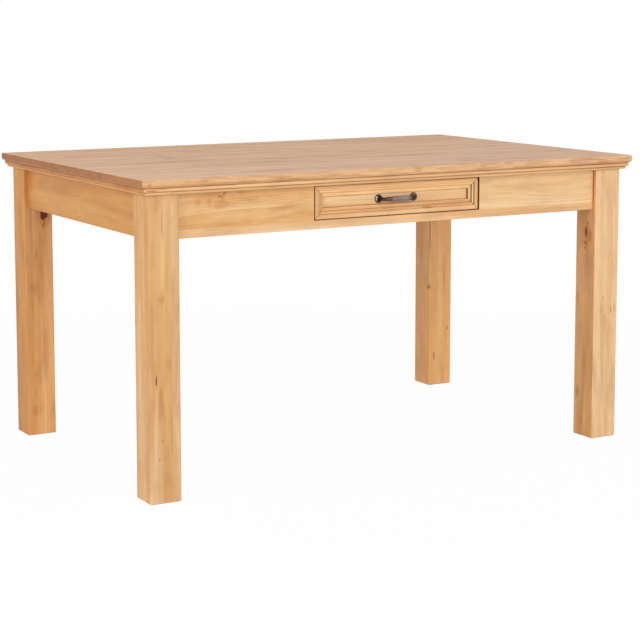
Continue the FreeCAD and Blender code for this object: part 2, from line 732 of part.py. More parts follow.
def moulding_section():
    """Section of the drawer's mitred moulding: y inwards from its outer edge, z out from the board.

    Inside the flat border, a step leads down to a bead and another to a rounded band, whose inner
    edge stands up from the board.
    """
    top = FRAME_THICKNESS
    bead_start = FRAME_BORDER
    bead_end = FRAME_BORDER + FRAME_BEAD_WIDTH
    bead_outer = top - FRAME_FIRST_STEP
    bead_inner = bead_outer - FRAME_BEAD_FALL
    band_outer = bead_inner - FRAME_SECOND_STEP
    arris_mid = FRAME_ARRIS * (1 - math.sqrt(0.5))
    bead_mid = (0, (bead_start + bead_end) / 2, bead_outer + FRAME_BEAD_RISE)
    band_mid = (0, (bead_end + FRAME_WIDTH) / 2, band_outer + FRAME_BAND_RISE)
    return outline(
        [
            (0, 0, 0),
            (0, 0, top - FRAME_ARRIS),
            ((0, arris_mid, top - arris_mid), (0, FRAME_ARRIS, top)),
            (0, bead_start, top),
            (0, bead_start, bead_outer),
            (bead_mid, (0, bead_end, bead_inner)),
            (0, bead_end, band_outer),
            (band_mid, (0, FRAME_WIDTH, FRAME_LIP)),
            (0, FRAME_WIDTH, 0),
        ]
    )


def drawer_mouldings():
    """The four mitred mouldings on the drawer's front board, by side."""
    section = moulding_section()
    height = DRAWER_HIGH - DRAWER_LOW
    long_bar = mitred_bar(section, 2 * DRAWER_X, FRAME_WIDTH)
    short_bar = mitred_bar(section, height, FRAME_WIDTH)
    upright = FreeCAD.Rotation(Vector(1, 0, 0), 90)
    spin = Vector(0, 0, 1)
    places = {
        "bottom": (long_bar, 0, (0, PANEL_Y, DRAWER_LOW)),
        "top": (long_bar, 180, (0, PANEL_Y, DRAWER_HIGH)),
        "left": (short_bar, -90, (-DRAWER_X, PANEL_Y, DRAWER_MIDDLE)),
        "right": (short_bar, 90, (DRAWER_X, PANEL_Y, DRAWER_MIDDLE)),
    }
    found = {}
    for name, (bar, angle, place) in places.items():
        turn = upright.multiply(FreeCAD.Rotation(spin, angle))
        found[name] = moved(bar, place, turn)
    return found


# ---- drawer pull ------------------------------------------------------------------------------
def pull_station(share):
    """Centre, direction, half height and half depth of the bow at a share 0 to 1 of its run."""
    half = PULL_SPACING / 2
    radius = PULL_CORNER_RADIUS
    post = PULL_PROJECTION - ROSETTE_THICKNESS - radius
    bend = radius * math.pi / 2
    grip = 2 * (half - radius)
    run = share * (2 * post + 2 * bend + grip)
    mirror = run > post + bend + grip / 2
    if mirror:
        run = 2 * post + 2 * bend + grip - run
    base_y = PANEL_Y - ROSETTE_THICKNESS
    if run <= post:
        centre = Vector(-half, base_y - run, DRAWER_MIDDLE)
        way = Vector(0, -1, 0)
    elif run <= post + bend:
        angle = (run - post) / radius
        x = -half + radius * (1 - math.cos(angle))
        centre = Vector(x, base_y - post - radius * math.sin(angle), DRAWER_MIDDLE)
        way = Vector(math.sin(angle), -math.cos(angle), 0)
    else:
        centre = Vector(-half + radius + run - post - bend, base_y - post - radius, DRAWER_MIDDLE)
        way = Vector(1, 0, 0)
    spread = max(0.0, (run - post - bend / 2) / (bend / 2 + grip / 2))
    blend = math.sin(spread * math.pi / 2)
    high = PULL_POST_HALF_HEIGHT + (PULL_GRIP_HALF_HEIGHT - PULL_POST_HALF_HEIGHT) * blend
    deep = PULL_POST_HALF_DEPTH + (PULL_GRIP_HALF_DEPTH - PULL_POST_HALF_DEPTH) * blend
    if mirror:
        centre.x = -centre.x
        way.y = -way.y
    return centre, way, high, deep


def pull_ring(share):
    """A closed elliptic wire across the bow: its tall axis is upright."""
    centre, way, high, deep = pull_station(share)
    ellipse = Part.Ellipse(centre + Vector(0, 0, high), centre + way.cross(Vector(0, 0, 1)) * deep, centre)
    return Part.Wire(ellipse.toShape())


def pull_bow():
    """The bow: round posts that bend into a flattened grip, tapped for the screws."""
    rings = [pull_ring(index / (PULL_SECTIONS - 1)) for index in range(PULL_SECTIONS)]
    bow = Part.makeLoft(rings, True, False)
    return without(bow, grown(pull_screw_rods()))


def rosette(x):
    """A turned rosette under a post of the pull."""
    points = [(ROSETTE_RADIUS * r, 0, ROSETTE_THICKNESS * h) for r, h in ROSETTE_OUTLINE]
    disc = outline(points).revolve(Vector(), Vector(0, 0, 1), 360)
    placed = moved(disc, (x, PANEL_Y, DRAWER_MIDDLE), FreeCAD.Rotation(Vector(1, 0, 0), 90))
    return without(placed, grown(pull_screw_rods()))


def pull_screws():
    """Machine screws from inside the drawer into the posts."""
    found = []
    for radius, start, end in pull_screw_rods():
        shank = rod(radius, start, end)
        head_end = Vector(start) + Vector(0, PULL_SCREW_HEAD_HEIGHT, 0)
        head = rod(PULL_SCREW_HEAD_RADIUS, start, head_end)
        found.append(head.fuse(shank).removeSplitter())
    return found


# ---- build ------------------------------------------------------------------------------------
def build_top():
    """Exports the boards, the doubling strips and the hardware that holds them."""
    for index, board in enumerate(top_boards()):
        export(f"top_board_{index + 1}", board)
    holes = screw_cutters(angle_screws(), SCREW_LENGTH)
    for name, strip in edge_strips().items():
        export("edge_strip_" + name, without(strip, holes))
    export("top_fixing_angles", fixing_angles())
    export("top_fixing_screws", [screw(seat, way) for seat, way in angle_screws()])


def build_frame():
    """Exports the legs, aprons, brackets and everything that joins them."""
    leg = leg_solid()
    bracket = bracket_solid()
    local = {
        "hanger_bolts": [rod(*bolt) for bolt in corner_bolts()],
        "bolt_washers": washer_solids(),
        "bolt_nuts": nut_solids(),
        "bracket_screws": [screw(seat, way) for seat, way in flange_screws()],
        "apron_dowels": [rod(*dowel) for dowel in corner_dowels()],
    }
    for name, x_sign, y_sign in CORNERS:
        export("leg_" + name, at_corner(leg, x_sign, y_sign))
        export("corner_bracket_" + name, at_corner(bracket, x_sign, y_sign))
    for name, solids in local.items():
        export(name, [at_corner(solid, x, y) for _, x, y in CORNERS for solid in solids])
    for name, apron in aprons().items():
        export(name, apron)


def build_guides():
    """Exports the cross rails with their packers, dowels, drawer guides and stops."""
    dowels = []
    screws = []
    for name, sign in SIDES:
        export("cross_rail_" + name, cross_rail(sign))
        export("cross_packer_" + name, packer(sign))
        export("drawer_runner_" + name, guide_bar(sign, RUNNER_BOTTOM, RUNNER_TOP))
        export("drawer_kicker_" + name, guide_bar(sign, KICKER_BOTTOM, FRAME_TOP))
        export("drawer_stop_" + name, drawer_stop(sign))
        dowels += [rod(*dowel) for dowel in cross_dowels(sign)]
        screws += [screw(seat, way, GUIDE_SCREW_LENGTH) for seat, way in guide_screws(sign)]
    export("cross_rail_dowels", dowels)
    export("guide_screws", screws)


def build_drawer():
    """Exports the drawer, its mouldings and its pull."""
    for name, solid in drawer_box().items():
        export(name, solid)
    for name, moulding in drawer_mouldings().items():
        export("drawer_moulding_" + name, moulding)
    export("drawer_dowels", [rod(*dowel) for dowel in drawer_dowels()])
    export("drawer_pull", pull_bow())
    for (name, _), x in zip(SIDES, pull_posts()):
        export("pull_rosette_" + name, rosette(x))
    export("pull_screws", pull_screws())


os.makedirs("parts", exist_ok=True)
build_top()
build_frame()
build_guides()
build_drawer()
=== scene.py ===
"""A pine dining table with an apron drawer: its finishes, its metalwork and its studio.

Lengths are in metres, in the model's own frame: +X runs along the table, -Y is the drawer's side
and +Z is up. The woodwork, the brackets and the angles keep the solids of the frame, and so do the
screws of the drawer's guides: they get their finish here. The pull, the other screws, the bolts,
the washers and the nuts are surfaces worked out with numpy, each in its solid's place.
"""

import json
import logging
import math
from collections.abc import Sequence
from dataclasses import dataclass, replace
from enum import Enum
from typing import ClassVar

import bpy
import numpy as np
from mathutils import Euler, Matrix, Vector

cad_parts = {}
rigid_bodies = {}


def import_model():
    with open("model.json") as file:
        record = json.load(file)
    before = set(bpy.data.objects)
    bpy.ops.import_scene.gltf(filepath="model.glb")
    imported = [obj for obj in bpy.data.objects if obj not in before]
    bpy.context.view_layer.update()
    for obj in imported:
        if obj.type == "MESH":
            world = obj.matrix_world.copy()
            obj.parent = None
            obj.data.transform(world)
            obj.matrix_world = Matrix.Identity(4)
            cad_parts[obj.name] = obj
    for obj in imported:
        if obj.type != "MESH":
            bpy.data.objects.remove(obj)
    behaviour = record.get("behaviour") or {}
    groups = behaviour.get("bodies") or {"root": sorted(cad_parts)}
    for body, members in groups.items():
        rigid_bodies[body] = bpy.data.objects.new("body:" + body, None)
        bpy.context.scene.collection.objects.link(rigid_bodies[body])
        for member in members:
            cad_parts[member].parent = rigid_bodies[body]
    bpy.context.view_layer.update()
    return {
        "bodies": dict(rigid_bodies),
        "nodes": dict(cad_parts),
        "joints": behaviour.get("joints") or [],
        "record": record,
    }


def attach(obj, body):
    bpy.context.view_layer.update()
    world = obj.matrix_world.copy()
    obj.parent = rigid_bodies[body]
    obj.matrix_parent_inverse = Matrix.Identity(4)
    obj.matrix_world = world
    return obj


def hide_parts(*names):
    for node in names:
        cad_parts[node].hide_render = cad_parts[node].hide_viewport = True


LOG = logging.getLogger("table")
MM = 0.001
WHITE = (1.0, 1.0, 1.0, 1.0)

Colour = tuple[int, int, int]
Pair = tuple[float, float]
Triple = tuple[float, float, float]
Socket = bpy.types.NodeSocket

PLAIN: Triple = (1.0, 1.0, 1.0)
UP: Triple = (0.0, 0.0, 1.0)


def linear(colour: Colour, tint: Triple = PLAIN) -> tuple[float, float, float, float]:
    """Turns a display colour into the linear one that a shader reads.

    A share up to 0.04045 is divided by 12.92. A larger one gains 0.055, is divided by 1.055 and
    is raised to the power 2.4.

    Args:
        colour: red, green and blue, each from 0 to 255.
        tint: what the linear red, green and blue are multiplied by.

    Returns:
        Red, green, blue and alpha, each from 0 to 1.
    """
    share = np.array(colour, float) / 255.0
    value = np.where(share <= 0.04045, share / 12.92, ((share + 0.055) / 1.055) ** 2.4)
    red, green, blue = np.minimum(value * tint, 1.0)
    return (float(red), float(green), float(blue), 1.0)


# ---- shader graphs ----
class Graph:
    """Adds nodes to one node tree and joins them."""

    MIX_INPUTS = (0, 6, 7)  # the Mix node's share and its two colours
    MIX_RESULT = 2
    SINGLE = ("LENGTH", "DOT_PRODUCT")  # vector operations that give one number

    def __init__(self, tree: bpy.types.NodeTree) -> None:
        """Keeps the tree that every call adds to."""
        self.tree = tree

    def add(self, kind: str, inputs: dict | None = None, **settings: object) -> bpy.types.Node:
        """Adds one node.

        Args:
            kind: the node's type name without its ShaderNode prefix.
            inputs: input name or index to a value or to the socket that feeds it.
            settings: attributes of the node, set before its inputs.

        Returns:
            The new node.
        """
        node = self.tree.nodes.new("ShaderNode" + kind)
        for name, value in settings.items():
            setattr(node, name, value)
        for key, value in (inputs or {}).items():
            self.feed(node.inputs[key], value)
        return node

    def feed(self, socket: Socket, value: object) -> None:
        """Joins a socket to an input, or sets the input's own value.

        Args:
            socket: the input.
            value: the socket that feeds it, or its value.
        """
        if isinstance(value, bpy.types.NodeSocket):
            self.tree.links.new(value, socket)
        else:
            socket.default_value = value

    def math(self, operation: str, *values: object) -> Socket:
        """Adds a Math node on up to three numbers or sockets, and returns its result."""
        return self.add("Math", dict(enumerate(values)), operation=operation).outputs[0]

    def vector(self, operation: str, *values: object) -> Socket:
        """Adds a Vector Math node on vectors or sockets, and returns its vector or its one number."""
        node = self.add("VectorMath", dict(enumerate(values)), operation=operation)
        return node.outputs["Value" if operation in self.SINGLE else "Vector"]

    def times(self, vector: Socket, number: object) -> Socket:
        """Scales a vector by a number."""
        inputs = {"Vector": vector, "Scale": number}
        return self.add("VectorMath", inputs, operation="SCALE").outputs["Vector"]

    def part(self, vector: Socket, axis: int) -> Socket:
        """One coordinate of a vector, by its axis from 0 to 2."""
        return self.add("SeparateXYZ", {0: vector}).outputs[axis]

    def noise(self, vector: Socket, stretch: Triple, detail: float = 2.0) -> bpy.types.Node:
        """Adds noise over a vector that is first multiplied by a stretch, in cells per metre."""
        place = self.vector("MULTIPLY", vector, stretch)
        return self.add("TexNoise", {"Vector": place, "Scale": 1.0, "Detail": detail})

    def span(
        self, value: Socket, low: float, high: float, to_low: float = 0.0, to_high: float = 1.0
    ) -> Socket:
        """Maps a value from one range to another, with soft ends.

        Args:
            value: what is mapped.
            low: where the first range starts.
            high: where it ends.
            to_low: the result at its start and before it.
            to_high: the result at its end and past it.

        Returns:
            The mapped value.
        """
        inputs = {"Value": value, "From Min": low, "From Max": high}
        inputs |= {"To Min": to_low, "To Max": to_high}
        return self.add("MapRange", inputs, interpolation_type="SMOOTHSTEP").outputs["Result"]

    def blend(self, share: object, first: object, second: object) -> Socket:
        """Mixes two colours.

        Args:
            share: how much of the second colour there is, from 0 to 1.
            first: a colour, or the socket that gives it.
            second: another.

        Returns:
            The mixed colour.
        """
        node = self.add("Mix", data_type="RGBA", blend_type="MIX")
        for socket, value in zip(self.MIX_INPUTS, (share, first, second)):
            self.feed(node.inputs[socket], value)
        return node.outputs[self.MIX_RESULT]

    def ramp(self, value: Socket, stops: Sequence[Pair]) -> Socket:
        """Reads a grey ramp at a value.

        Args:
            value: where the ramp is read, from 0 to 1.
            stops: the ramp's positions and levels.

        Returns:
            The level there.
        """
        node = self.add("ValToRGB", {"Fac": value})
        bar = node.color_ramp
        bar.interpolation = "EASE"
        while len(bar.elements) < len(stops):
            bar.elements.new(0.5)
        for element, (position, level) in zip(bar.elements, stops):
            element.position = position
            element.color = (level, level, level, 1.0)
        return node.outputs["Color"]


class GroupKit:
    """Keeps the shader groups that several finishes share, each of them built once."""

    FLOAT = "NodeSocketFloat"
    VECTOR = "NodeSocketVector"
    COLOUR = "NodeSocketColor"

    def __init__(self) -> None:
        """Starts with no group built."""
        self.built: dict[str, bpy.types.NodeTree] = {}

    def start(
        self, name: str, inputs: dict[str, str], outputs: dict[str, str]
    ) -> tuple[Graph, dict[str, Socket], bpy.types.Node]:
        """Makes an empty group with named sockets.

        Args:
            name: the group's name.
            inputs: input name to socket type.
            outputs: output name to socket type.

        Returns:
            The group's graph, its input sockets by name, and its output node.
        """
        tree = bpy.data.node_groups.new(name, "ShaderNodeTree")
        for way, sockets in (("INPUT", inputs), ("OUTPUT", outputs)):
            for label, kind in sockets.items():
                tree.interface.new_socket(name=label, in_out=way, socket_type=kind)
        source = tree.nodes.new("NodeGroupInput")
        sink = tree.nodes.new("NodeGroupOutput")
        self.built[name] = tree
        return Graph(tree), {s.name: s for s in source.outputs if s.name}, sink

    def place(self, graph: Graph, effect: "Effect", inputs: dict[str, object]) -> bpy.types.Node:
        """Puts an effect's group into a material with its own values.

        Args:
            graph: the material's graph.
            effect: the effect, built on its first use.
            inputs: input name to a value or to the socket that feeds it.

        Returns:
            The group's node.
        """
        if effect.name not in self.built:
            effect.build(self)
        node = graph.tree.nodes.new("ShaderNodeGroup")
        node.node_tree = self.built[effect.name]
        for key, value in inputs.items():
            graph.feed(node.inputs[key], value)
        return node


class Effect:
    """A shader group that several finishes share."""

    name: str

    def build(self, kit: GroupKit) -> None:
        raise NotImplementedError


@dataclass(frozen=True)
class StaveCount(Effect):
    """How many glue lines a point lies past, on the way across a piece of glued staves."""

    name: str = "staves"

    def build(self, kit: GroupKit) -> None:
        """Builds the group: the count is one more past each of two edges.

        Args:
            kit: what makes the group and keeps it.
        """
        edges = ("First Edge", "Second Edge")
        ins = {"Vector": kit.VECTOR, "Across": kit.VECTOR} | dict.fromkeys(edges, kit.FLOAT)
        g, i, out = kit.start(self.name, ins, {"Count": kit.FLOAT})
        reach = g.vector("DOT_PRODUCT", i["Vector"], i["Across"])
        past = [g.math("GREATER_THAN", reach, i[edge]) for edge in edges]
        g.feed(out.inputs["Count"], g.math("ADD", *past))


@dataclass(frozen=True)
class FrameInset(Effect):
    """How far a point lies inside an upright mitred frame, and how far from its mitres."""

    name: str = "inset"

    def build(self, kit: GroupKit) -> None:
        """Builds the group.

        The inset is the smaller of the distances from the nearest end and from the nearest long
        edge, and a mitre is where the two are equal.

        Args:
            kit: what makes the group and keeps it.
        """
        ins = {"Vector": kit.VECTOR, "Middle": kit.VECTOR}
        ins |= {"Half Length": kit.FLOAT, "Half Height": kit.FLOAT}
        g, i, out = kit.start(self.name, ins, {"Distance": kit.FLOAT, "Mitre": kit.FLOAT})
        away = g.vector("ABSOLUTE", g.vector("SUBTRACT", i["Vector"], i["Middle"]))
        along, _, up = g.add("SeparateXYZ", {0: away}).outputs
        from_end = g.math("SUBTRACT", i["Half Length"], along)
        from_edge = g.math("SUBTRACT", i["Half Height"], up)
        g.feed(out.inputs["Distance"], g.math("MINIMUM", from_end, from_edge))
        g.feed(out.inputs["Mitre"], g.math("ABSOLUTE", g.math("SUBTRACT", from_end, from_edge)))


@dataclass(frozen=True)
class Mask:
    """Noise along a trunk, cut between two levels: its cells per metre along and across."""

    along: float
    across: float
    low: float
    high: float
    detail: float = 3.0

    def cut(self, g: Graph, place: Socket) -> Socket:
        """The mask at a place: 0 up to the low level and 1 from the high one."""
        noise = g.noise(place, (self.along, self.across, self.across), self.detail)
        return g.span(noise.outputs[0], self.low, self.high)


@dataclass(frozen=True)
class Waver:
    """A shift by noise: its cells per metre along and across the trunk, and its reach."""

    along: float
    across: float
    reach: float
    detail: float = 2.0

    def shift(self, g: Graph, place: Socket) -> Socket:
        """The shift at a place: the noise's colour less one half, times the reach."""
        noise = g.noise(place, (self.along, self.across, self.across), self.detail)
        return g.times(g.vector("SUBTRACT", noise.outputs["Color"], (0.5, 0.5, 0.5)), self.reach)


@dataclass(frozen=True)
class KnotMarks(Effect):
    """One knot, added to those already met.

    The edges are sizes between which the core and the halo end. A point's size is its distance
    from the knot's centre, over the knot's radii, shifted a little by noise.
    """

    name: str = "knot"
    rough: Waver = Waver(90.0, 90.0, 0.9, 3.0)
    core_edge: Pair = (0.85, 1.15)
    halo_edge: Pair = (0.7, 3.2)
    halo_power: float = 1.6
    waves: float = 14.0

    def build(self, kit: GroupKit) -> None:
        """Builds the group.

        The core is the depth inside its edge. The halo falls from the depth to 0 over its edge,
        as a power. The rings are half of the sine of the waves times the size, plus a half,
        times the core. Of each, the larger of this knot's and the others' goes on.

        Args:
            kit: what makes the group and keeps it.
        """
        ins = {"Vector": kit.VECTOR, "Centre": kit.VECTOR, "Radii": kit.VECTOR, "Depth": kit.FLOAT}
        levels = {"Core": kit.FLOAT, "Halo": kit.FLOAT, "Ring": kit.FLOAT}
        g, i, out = kit.start(self.name, ins | levels, levels)
        away = g.vector("DIVIDE", g.vector("SUBTRACT", i["Vector"], i["Centre"]), i["Radii"])
        size = g.vector("LENGTH", g.vector("ADD", away, self.rough.shift(g, i["Vector"])))
        core = g.math("MULTIPLY", g.span(size, *self.core_edge, 1.0, 0.0), i["Depth"])
        fall = g.math("POWER", g.span(size, *self.halo_edge, 1.0, 0.0), self.halo_power)
        halo = g.math("MULTIPLY", fall, i["Depth"])
        wave = g.math("SINE", g.math("MULTIPLY", size, self.waves))
        ring = g.math("MULTIPLY", g.math("MULTIPLY_ADD", wave, 0.5, 0.5), core)
        for label, level in (("Core", core), ("Halo", halo), ("Ring", ring)):
            g.feed(out.inputs[label], g.math("MAXIMUM", i[label], level))


@dataclass(frozen=True)
class Figure:
    """What wood shows at a point, each from 0 to 1."""

    late: Socket
    year: Socket
    streak: Socket
    flame: Socket


@dataclass(frozen=True)
class Timber(Effect):
    """Softwood cut from a round trunk whose heart runs along the first axis.

    The distance from the heart, with a slow waver, is cut into yearly rings. Each ring grows
    darker towards its outer side and ends sharply, and some rings are stronger than others.
    Broad streaks, fibres, flecks and pale streaks lie along the trunk, and the pale streaks also
    paint glints of reflected light. The ends of the fibres are darker, knots push the rings aside,
    and the grooves of a moulding darken with stain and with painted shade.
    """

    NUMBERS: ClassVar[tuple[str, ...]] = (
        *("Ring Width", "Contrast", "Cloud", "Band", "Flame", "Seed", "Gloss", "End Share"),
        *("Stave", "Stave Tone", "Core", "Halo", "Ring", "Groove"),
    )

    name: str = "timber"
    # The trunk: how far the next stave is cut from this one, and what bends the rings
    stave_step: Triple = (0.43, 0.031, 0.027)
    seed_across: float = 1.7
    slow: Waver = Waver(1.6, 5.0, 0.034)
    quick: Waver = Waver(8.0, 30.0, 0.005)
    knot_push: float = 0.010
    uneven_cells: float = 0.4
    uneven_years: float = 2.4
    season: tuple[Pair, ...] = ((0.0, 0.0), (0.3, 0.08), (0.8, 0.7), (0.92, 1.0), (1.0, 0.0))
    # What lies along the trunk
    streak: Mask = Mask(1.3, 30.0, 0.34, 0.66)
    patch: Mask = Mask(3.0, 11.0, 0.3, 0.7)
    cloud: Mask = Mask(7.0, 26.0, 0.42, 0.74)
    band: Mask = Mask(2.6, 90.0, 0.45, 0.72)
    flame: Mask = Mask(22.0, 170.0, 0.42, 0.66)
    fleck: Mask = Mask(42.0, 620.0, 0.71, 0.78, 1.0)
    # pale streaks: lighter tone that also paints glints of reflected light
    pale: Mask = Mask(9.0, 52.0, 0.56, 0.70, 2.0)
    shade: Mask = Mask(15.0, 38.0, 0.50, 0.68)
    fibre: Triple = (14.0, 900.0, 900.0)
    thread: Triple = (5.0, 240.0, 240.0)
    # How strong a ring is: the least, and what a dark patch and a good year add
    ring_least: float = 0.35
    year_gain: float = 0.8
    year_least: float = 0.35
    # What each of them does to the tone: gain and base for the fine ones, gain for the others
    fibre_tone: Pair = (0.08, 0.96)
    thread_tone: Pair = (0.08, 0.96)
    fleck_tone: float = 0.18
    pale_glint_tone: float = 0.08
    shade_tone: float = -0.07
    # The ends of the fibres
    end_cover: float = 0.95
    end_flame: float = -0.30
    end_streak: float = -0.20
    end_tone: float = 1.19
    # Knots, and the stain and painted shade in grooves
    halo_cover: float = 0.5
    heart_edge: Pair = (0.5, 0.95)
    core_power: float = 0.7
    knot_brown: Colour = (172, 100, 44)
    knot_heart: Colour = (74, 24, 10)
    knot_ring: Colour = (132, 62, 26)
    stain_and_shade: Colour = (140, 76, 32)
    # The sheen and the height that fibres and late wood add
    fibre_sheen: float = 0.12
    late_sheen: float = -0.05
    fibre_height: float = 0.55
    late_height: float = 0.45

    def trunk(self, g: Graph, i: dict[str, Socket]) -> tuple[Socket, Socket]:
        """Where a point lies in its trunk.

        Each stave is cut a step further on, and the seed moves the place that noise is read at.
        The distance from the heart takes two wavers and the trunk's lean, and the halo of a knot
        adds to it.

        Args:
            g: the group's graph.
            i: the group's inputs.

        Returns:
            The place that noise is read at, and the distance from the heart.
        """
        step = g.add("CombineXYZ", dict(enumerate(self.stave_step))).outputs[0]
        board = g.vector("ADD", i["Vector"], g.times(step, i["Stave"]))
        spread = {0: i["Seed"], 1: g.math("MULTIPLY", i["Seed"], self.seed_across), 2: i["Seed"]}
        place = g.vector("ADD", board, g.add("CombineXYZ", spread).outputs[0])
        leaning = g.times(i["Lean"], g.part(board, 0))
        waver = g.vector("ADD", self.slow.shift(g, place), leaning)
        waver = g.vector("ADD", waver, self.quick.shift(g, place))
        across = g.vector("MULTIPLY", g.vector("ADD", board, waver), (0.0, 1.0, 1.0))
        return place, g.math("MULTIPLY_ADD", i["Halo"], self.knot_push, g.vector("LENGTH", across))

    def rings(self, g: Graph, radius: Socket, width: Socket) -> tuple[Socket, Socket]:
        """The yearly rings at a distance from the heart.

        The years are the distance over the width of a ring, plus noise that makes them uneven.
        The passed share of a year reads the season's ramp.

        Args:
            g: the group's graph.
            radius: the distance from the heart.
            width: the width of a ring.

        Returns:
            How late in its year the wood grew, and how good that year was.
        """
        years = g.math("DIVIDE", radius, width)
        slow = {"W": g.math("MULTIPLY", years, self.uneven_cells), "Scale": 1.0}
        uneven = g.add("TexNoise", slow, noise_dimensions="1D").outputs[0]
        years = g.math("MULTIPLY_ADD", uneven, self.uneven_years, years)
        late = g.ramp(g.math("FRACT", years), self.season)
        year = g.add("TexWhiteNoise", {"W": g.math("FLOOR", years)}, noise_dimensions="1D")
        return late, year.outputs["Value"]

    def clear_wood(self, g: Graph, i: dict[str, Socket], place: Socket, figure: Figure) -> Socket:
        """The colour of clear wood: light to warm by its streaks, then towards the dark.

        Args:
            g: the group's graph.
            i: the group's inputs.
            place: where noise is read.
            figure: what the wood shows there.

        Returns:
            The colour.
        """
        patch = self.patch.cut(g, place)
        cloud = self.cloud.cut(g, place)
        band = self.band.cut(g, place)
        strength = g.math("MULTIPLY", i["Contrast"], g.math("ADD", self.ring_least, patch))
        good = g.math("MULTIPLY_ADD", figure.year, self.year_gain, self.year_least)
        share = g.math("MULTIPLY", g.math("MULTIPLY", figure.late, strength), good)
        share = g.math("MULTIPLY_ADD", g.math("MULTIPLY", cloud, patch), i["Cloud"], share)
        share = g.math("MULTIPLY_ADD", band, i["Band"], share)
        share = g.math("MULTIPLY_ADD", figure.flame, i["Flame"], share)
        return g.blend(share, g.blend(figure.streak, i["Light"], i["Warm"]), i["Dark"])

    def tone(self, g: Graph, i: dict[str, Socket], place: Socket, fibre: Socket) -> Socket:
        """What the colour is multiplied by, about 1.

        Args:
            g: the group's graph.
            i: the group's inputs.
            place: where noise is read.
            fibre: the finest noise there.

        Returns:
            The tone.
        """
        thread = g.noise(place, self.thread).outputs[0]
        tone = g.math("MULTIPLY_ADD", fibre, *self.fibre_tone)
        tone = g.math("MULTIPLY", tone, g.math("MULTIPLY_ADD", thread, *self.thread_tone))
        stave = g.math("MULTIPLY_ADD", i["Stave"], i["Stave Tone"], 1.0)
        fleck = g.math("MULTIPLY", self.fleck.cut(g, place), self.fleck_tone)
        tone = g.math("SUBTRACT", g.math("MULTIPLY", tone, stave), fleck)
        # pale streaks: lighter tone and painted glints
        tone = g.math("MULTIPLY_ADD", self.pale.cut(g, place), self.pale_glint_tone, tone)
        return g.math("MULTIPLY_ADD", self.shade.cut(g, place), self.shade_tone, tone)

    def knotted(self, g: Graph, i: dict[str, Socket], wood: Socket) -> Socket:
        """Adds the halos and cores of the knots, and the stain and painted shade in the grooves.

        Args:
            g: the group's graph.
            i: the group's inputs.
            wood: the colour without them.

        Returns:
            The colour with them.
        """
        wood = g.blend(g.math("MULTIPLY", i["Halo"], self.halo_cover), wood, i["Dark"])
        heart = g.blend(i["Ring"], linear(self.knot_heart), linear(self.knot_ring))
        core = g.blend(g.span(i["Core"], *self.heart_edge), linear(self.knot_brown), heart)
        wood = g.blend(g.math("POWER", i["Core"], self.core_power), wood, core)
        # stain and painted shade in the grooves
        return g.blend(i["Groove"], wood, linear(self.stain_and_shade))

    def build(self, kit: GroupKit) -> None:
        """Builds the group: the wood's figure, then its colour, its sheen and its height.

        Args:
            kit: what makes the group and keeps it.
        """
        ins = {"Vector": kit.VECTOR, "Lean": kit.VECTOR}
        ins |= dict.fromkeys(("Light", "Warm", "Dark", "End"), kit.COLOUR)
        ins |= dict.fromkeys(self.NUMBERS, kit.FLOAT)
        outs = {"Color": kit.COLOUR, "Roughness": kit.FLOAT, "Height": kit.FLOAT}
        g, i, out = kit.start(self.name, ins, outs)
        place, radius = self.trunk(g, i)
        late, year = self.rings(g, radius, i["Ring Width"])
        streak, flame = self.streak.cut(g, place), self.flame.cut(g, place)
        fibre = g.noise(place, self.fibre).outputs[0]
        tone = self.tone(g, i, place, fibre)
        wood = self.clear_wood(g, i, place, Figure(late, year, streak, flame))
        wood = g.times(wood, tone)

        mottle = g.math("MULTIPLY_ADD", streak, self.end_streak, self.end_tone)
        mottle = g.math("MULTIPLY_ADD", flame, self.end_flame, mottle)
        end = g.times(i["End"], g.math("MULTIPLY", tone, mottle))
        wood = g.blend(g.math("MULTIPLY", i["End Share"], self.end_cover), wood, end)
        g.feed(out.inputs["Color"], self.knotted(g, i, wood))

        sheen = g.math("MULTIPLY", late, self.late_sheen)
        sheen = g.math("MULTIPLY_ADD", fibre, self.fibre_sheen, sheen)
        g.feed(out.inputs["Roughness"], g.math("ADD", sheen, i["Gloss"]))
        height = g.math("MULTIPLY", late, self.late_height)
        g.feed(out.inputs["Height"], g.math("MULTIPLY_ADD", fibre, self.fibre_height, height))


# ---- finishes ----
def blank_material(name: str) -> tuple[bpy.types.Material, Graph, bpy.types.Node]:
    """Makes a material with only its shader and output.

    Args:
        name: the material's name.

    Returns:
        The material, its graph and its Principled BSDF.
    """
    material = bpy.data.materials.new(name)
    material.use_nodes = True
    tree = material.node_tree
    return material, Graph(tree), tree.nodes["Principled BSDF"]


@dataclass(frozen=True)
class Relief:
    """How far a surface stands up where its height is 1: its strength and its distance."""

    strength: float
    distance: float

    def press(self, g: Graph, shader: bpy.types.Node, height: Socket) -> None:
        """Gives a material's Principled BSDF the relief of a height that runs from 0 to 1."""
        inputs = {"Height": height, "Strength": self.strength, "Distance": self.distance}
        g.feed(shader.inputs["Normal"], g.add("Bump", inputs).outputs["Normal"])


class Grain(Enum):
    """Which way a piece's fibres run, with the turn that brings them onto the first axis."""

    LENGTHWISE = (0.0, 0.0, 0.0)
    CROSSWISE = (0.0, 0.0, -math.pi / 2)
    UPRIGHT = (0.0, math.pi / 2, 0.0)

    @property
    def direction(self) -> Triple:
        """The fibres' direction in the table's own axes."""
        ways = {Grain.LENGTHWISE: (1.0, 0.0, 0.0), Grain.CROSSWISE: (0.0, 1.0, 0.0), Grain.UPRIGHT: UP}
        return ways[self]


@dataclass(frozen=True)
class Knot:
    """Where a branch crossed the board: its centre, its radii and how dark it is."""

    centre: Triple
    radii: Triple
    depth: float


@dataclass(frozen=True)
class Staves:
    """Glue lines across a piece: places along a direction, and how much the tone steps there."""

    across: Triple
    edges: Pair
    tone: float


class Measure(Enum):
    """What the grooves of a moulding are measured by."""

    HEIGHT = "height above the floor"
    INSET = "distance inside the drawer front's outer edge"
    MITRE = "distance from the line of the nearest mitre"


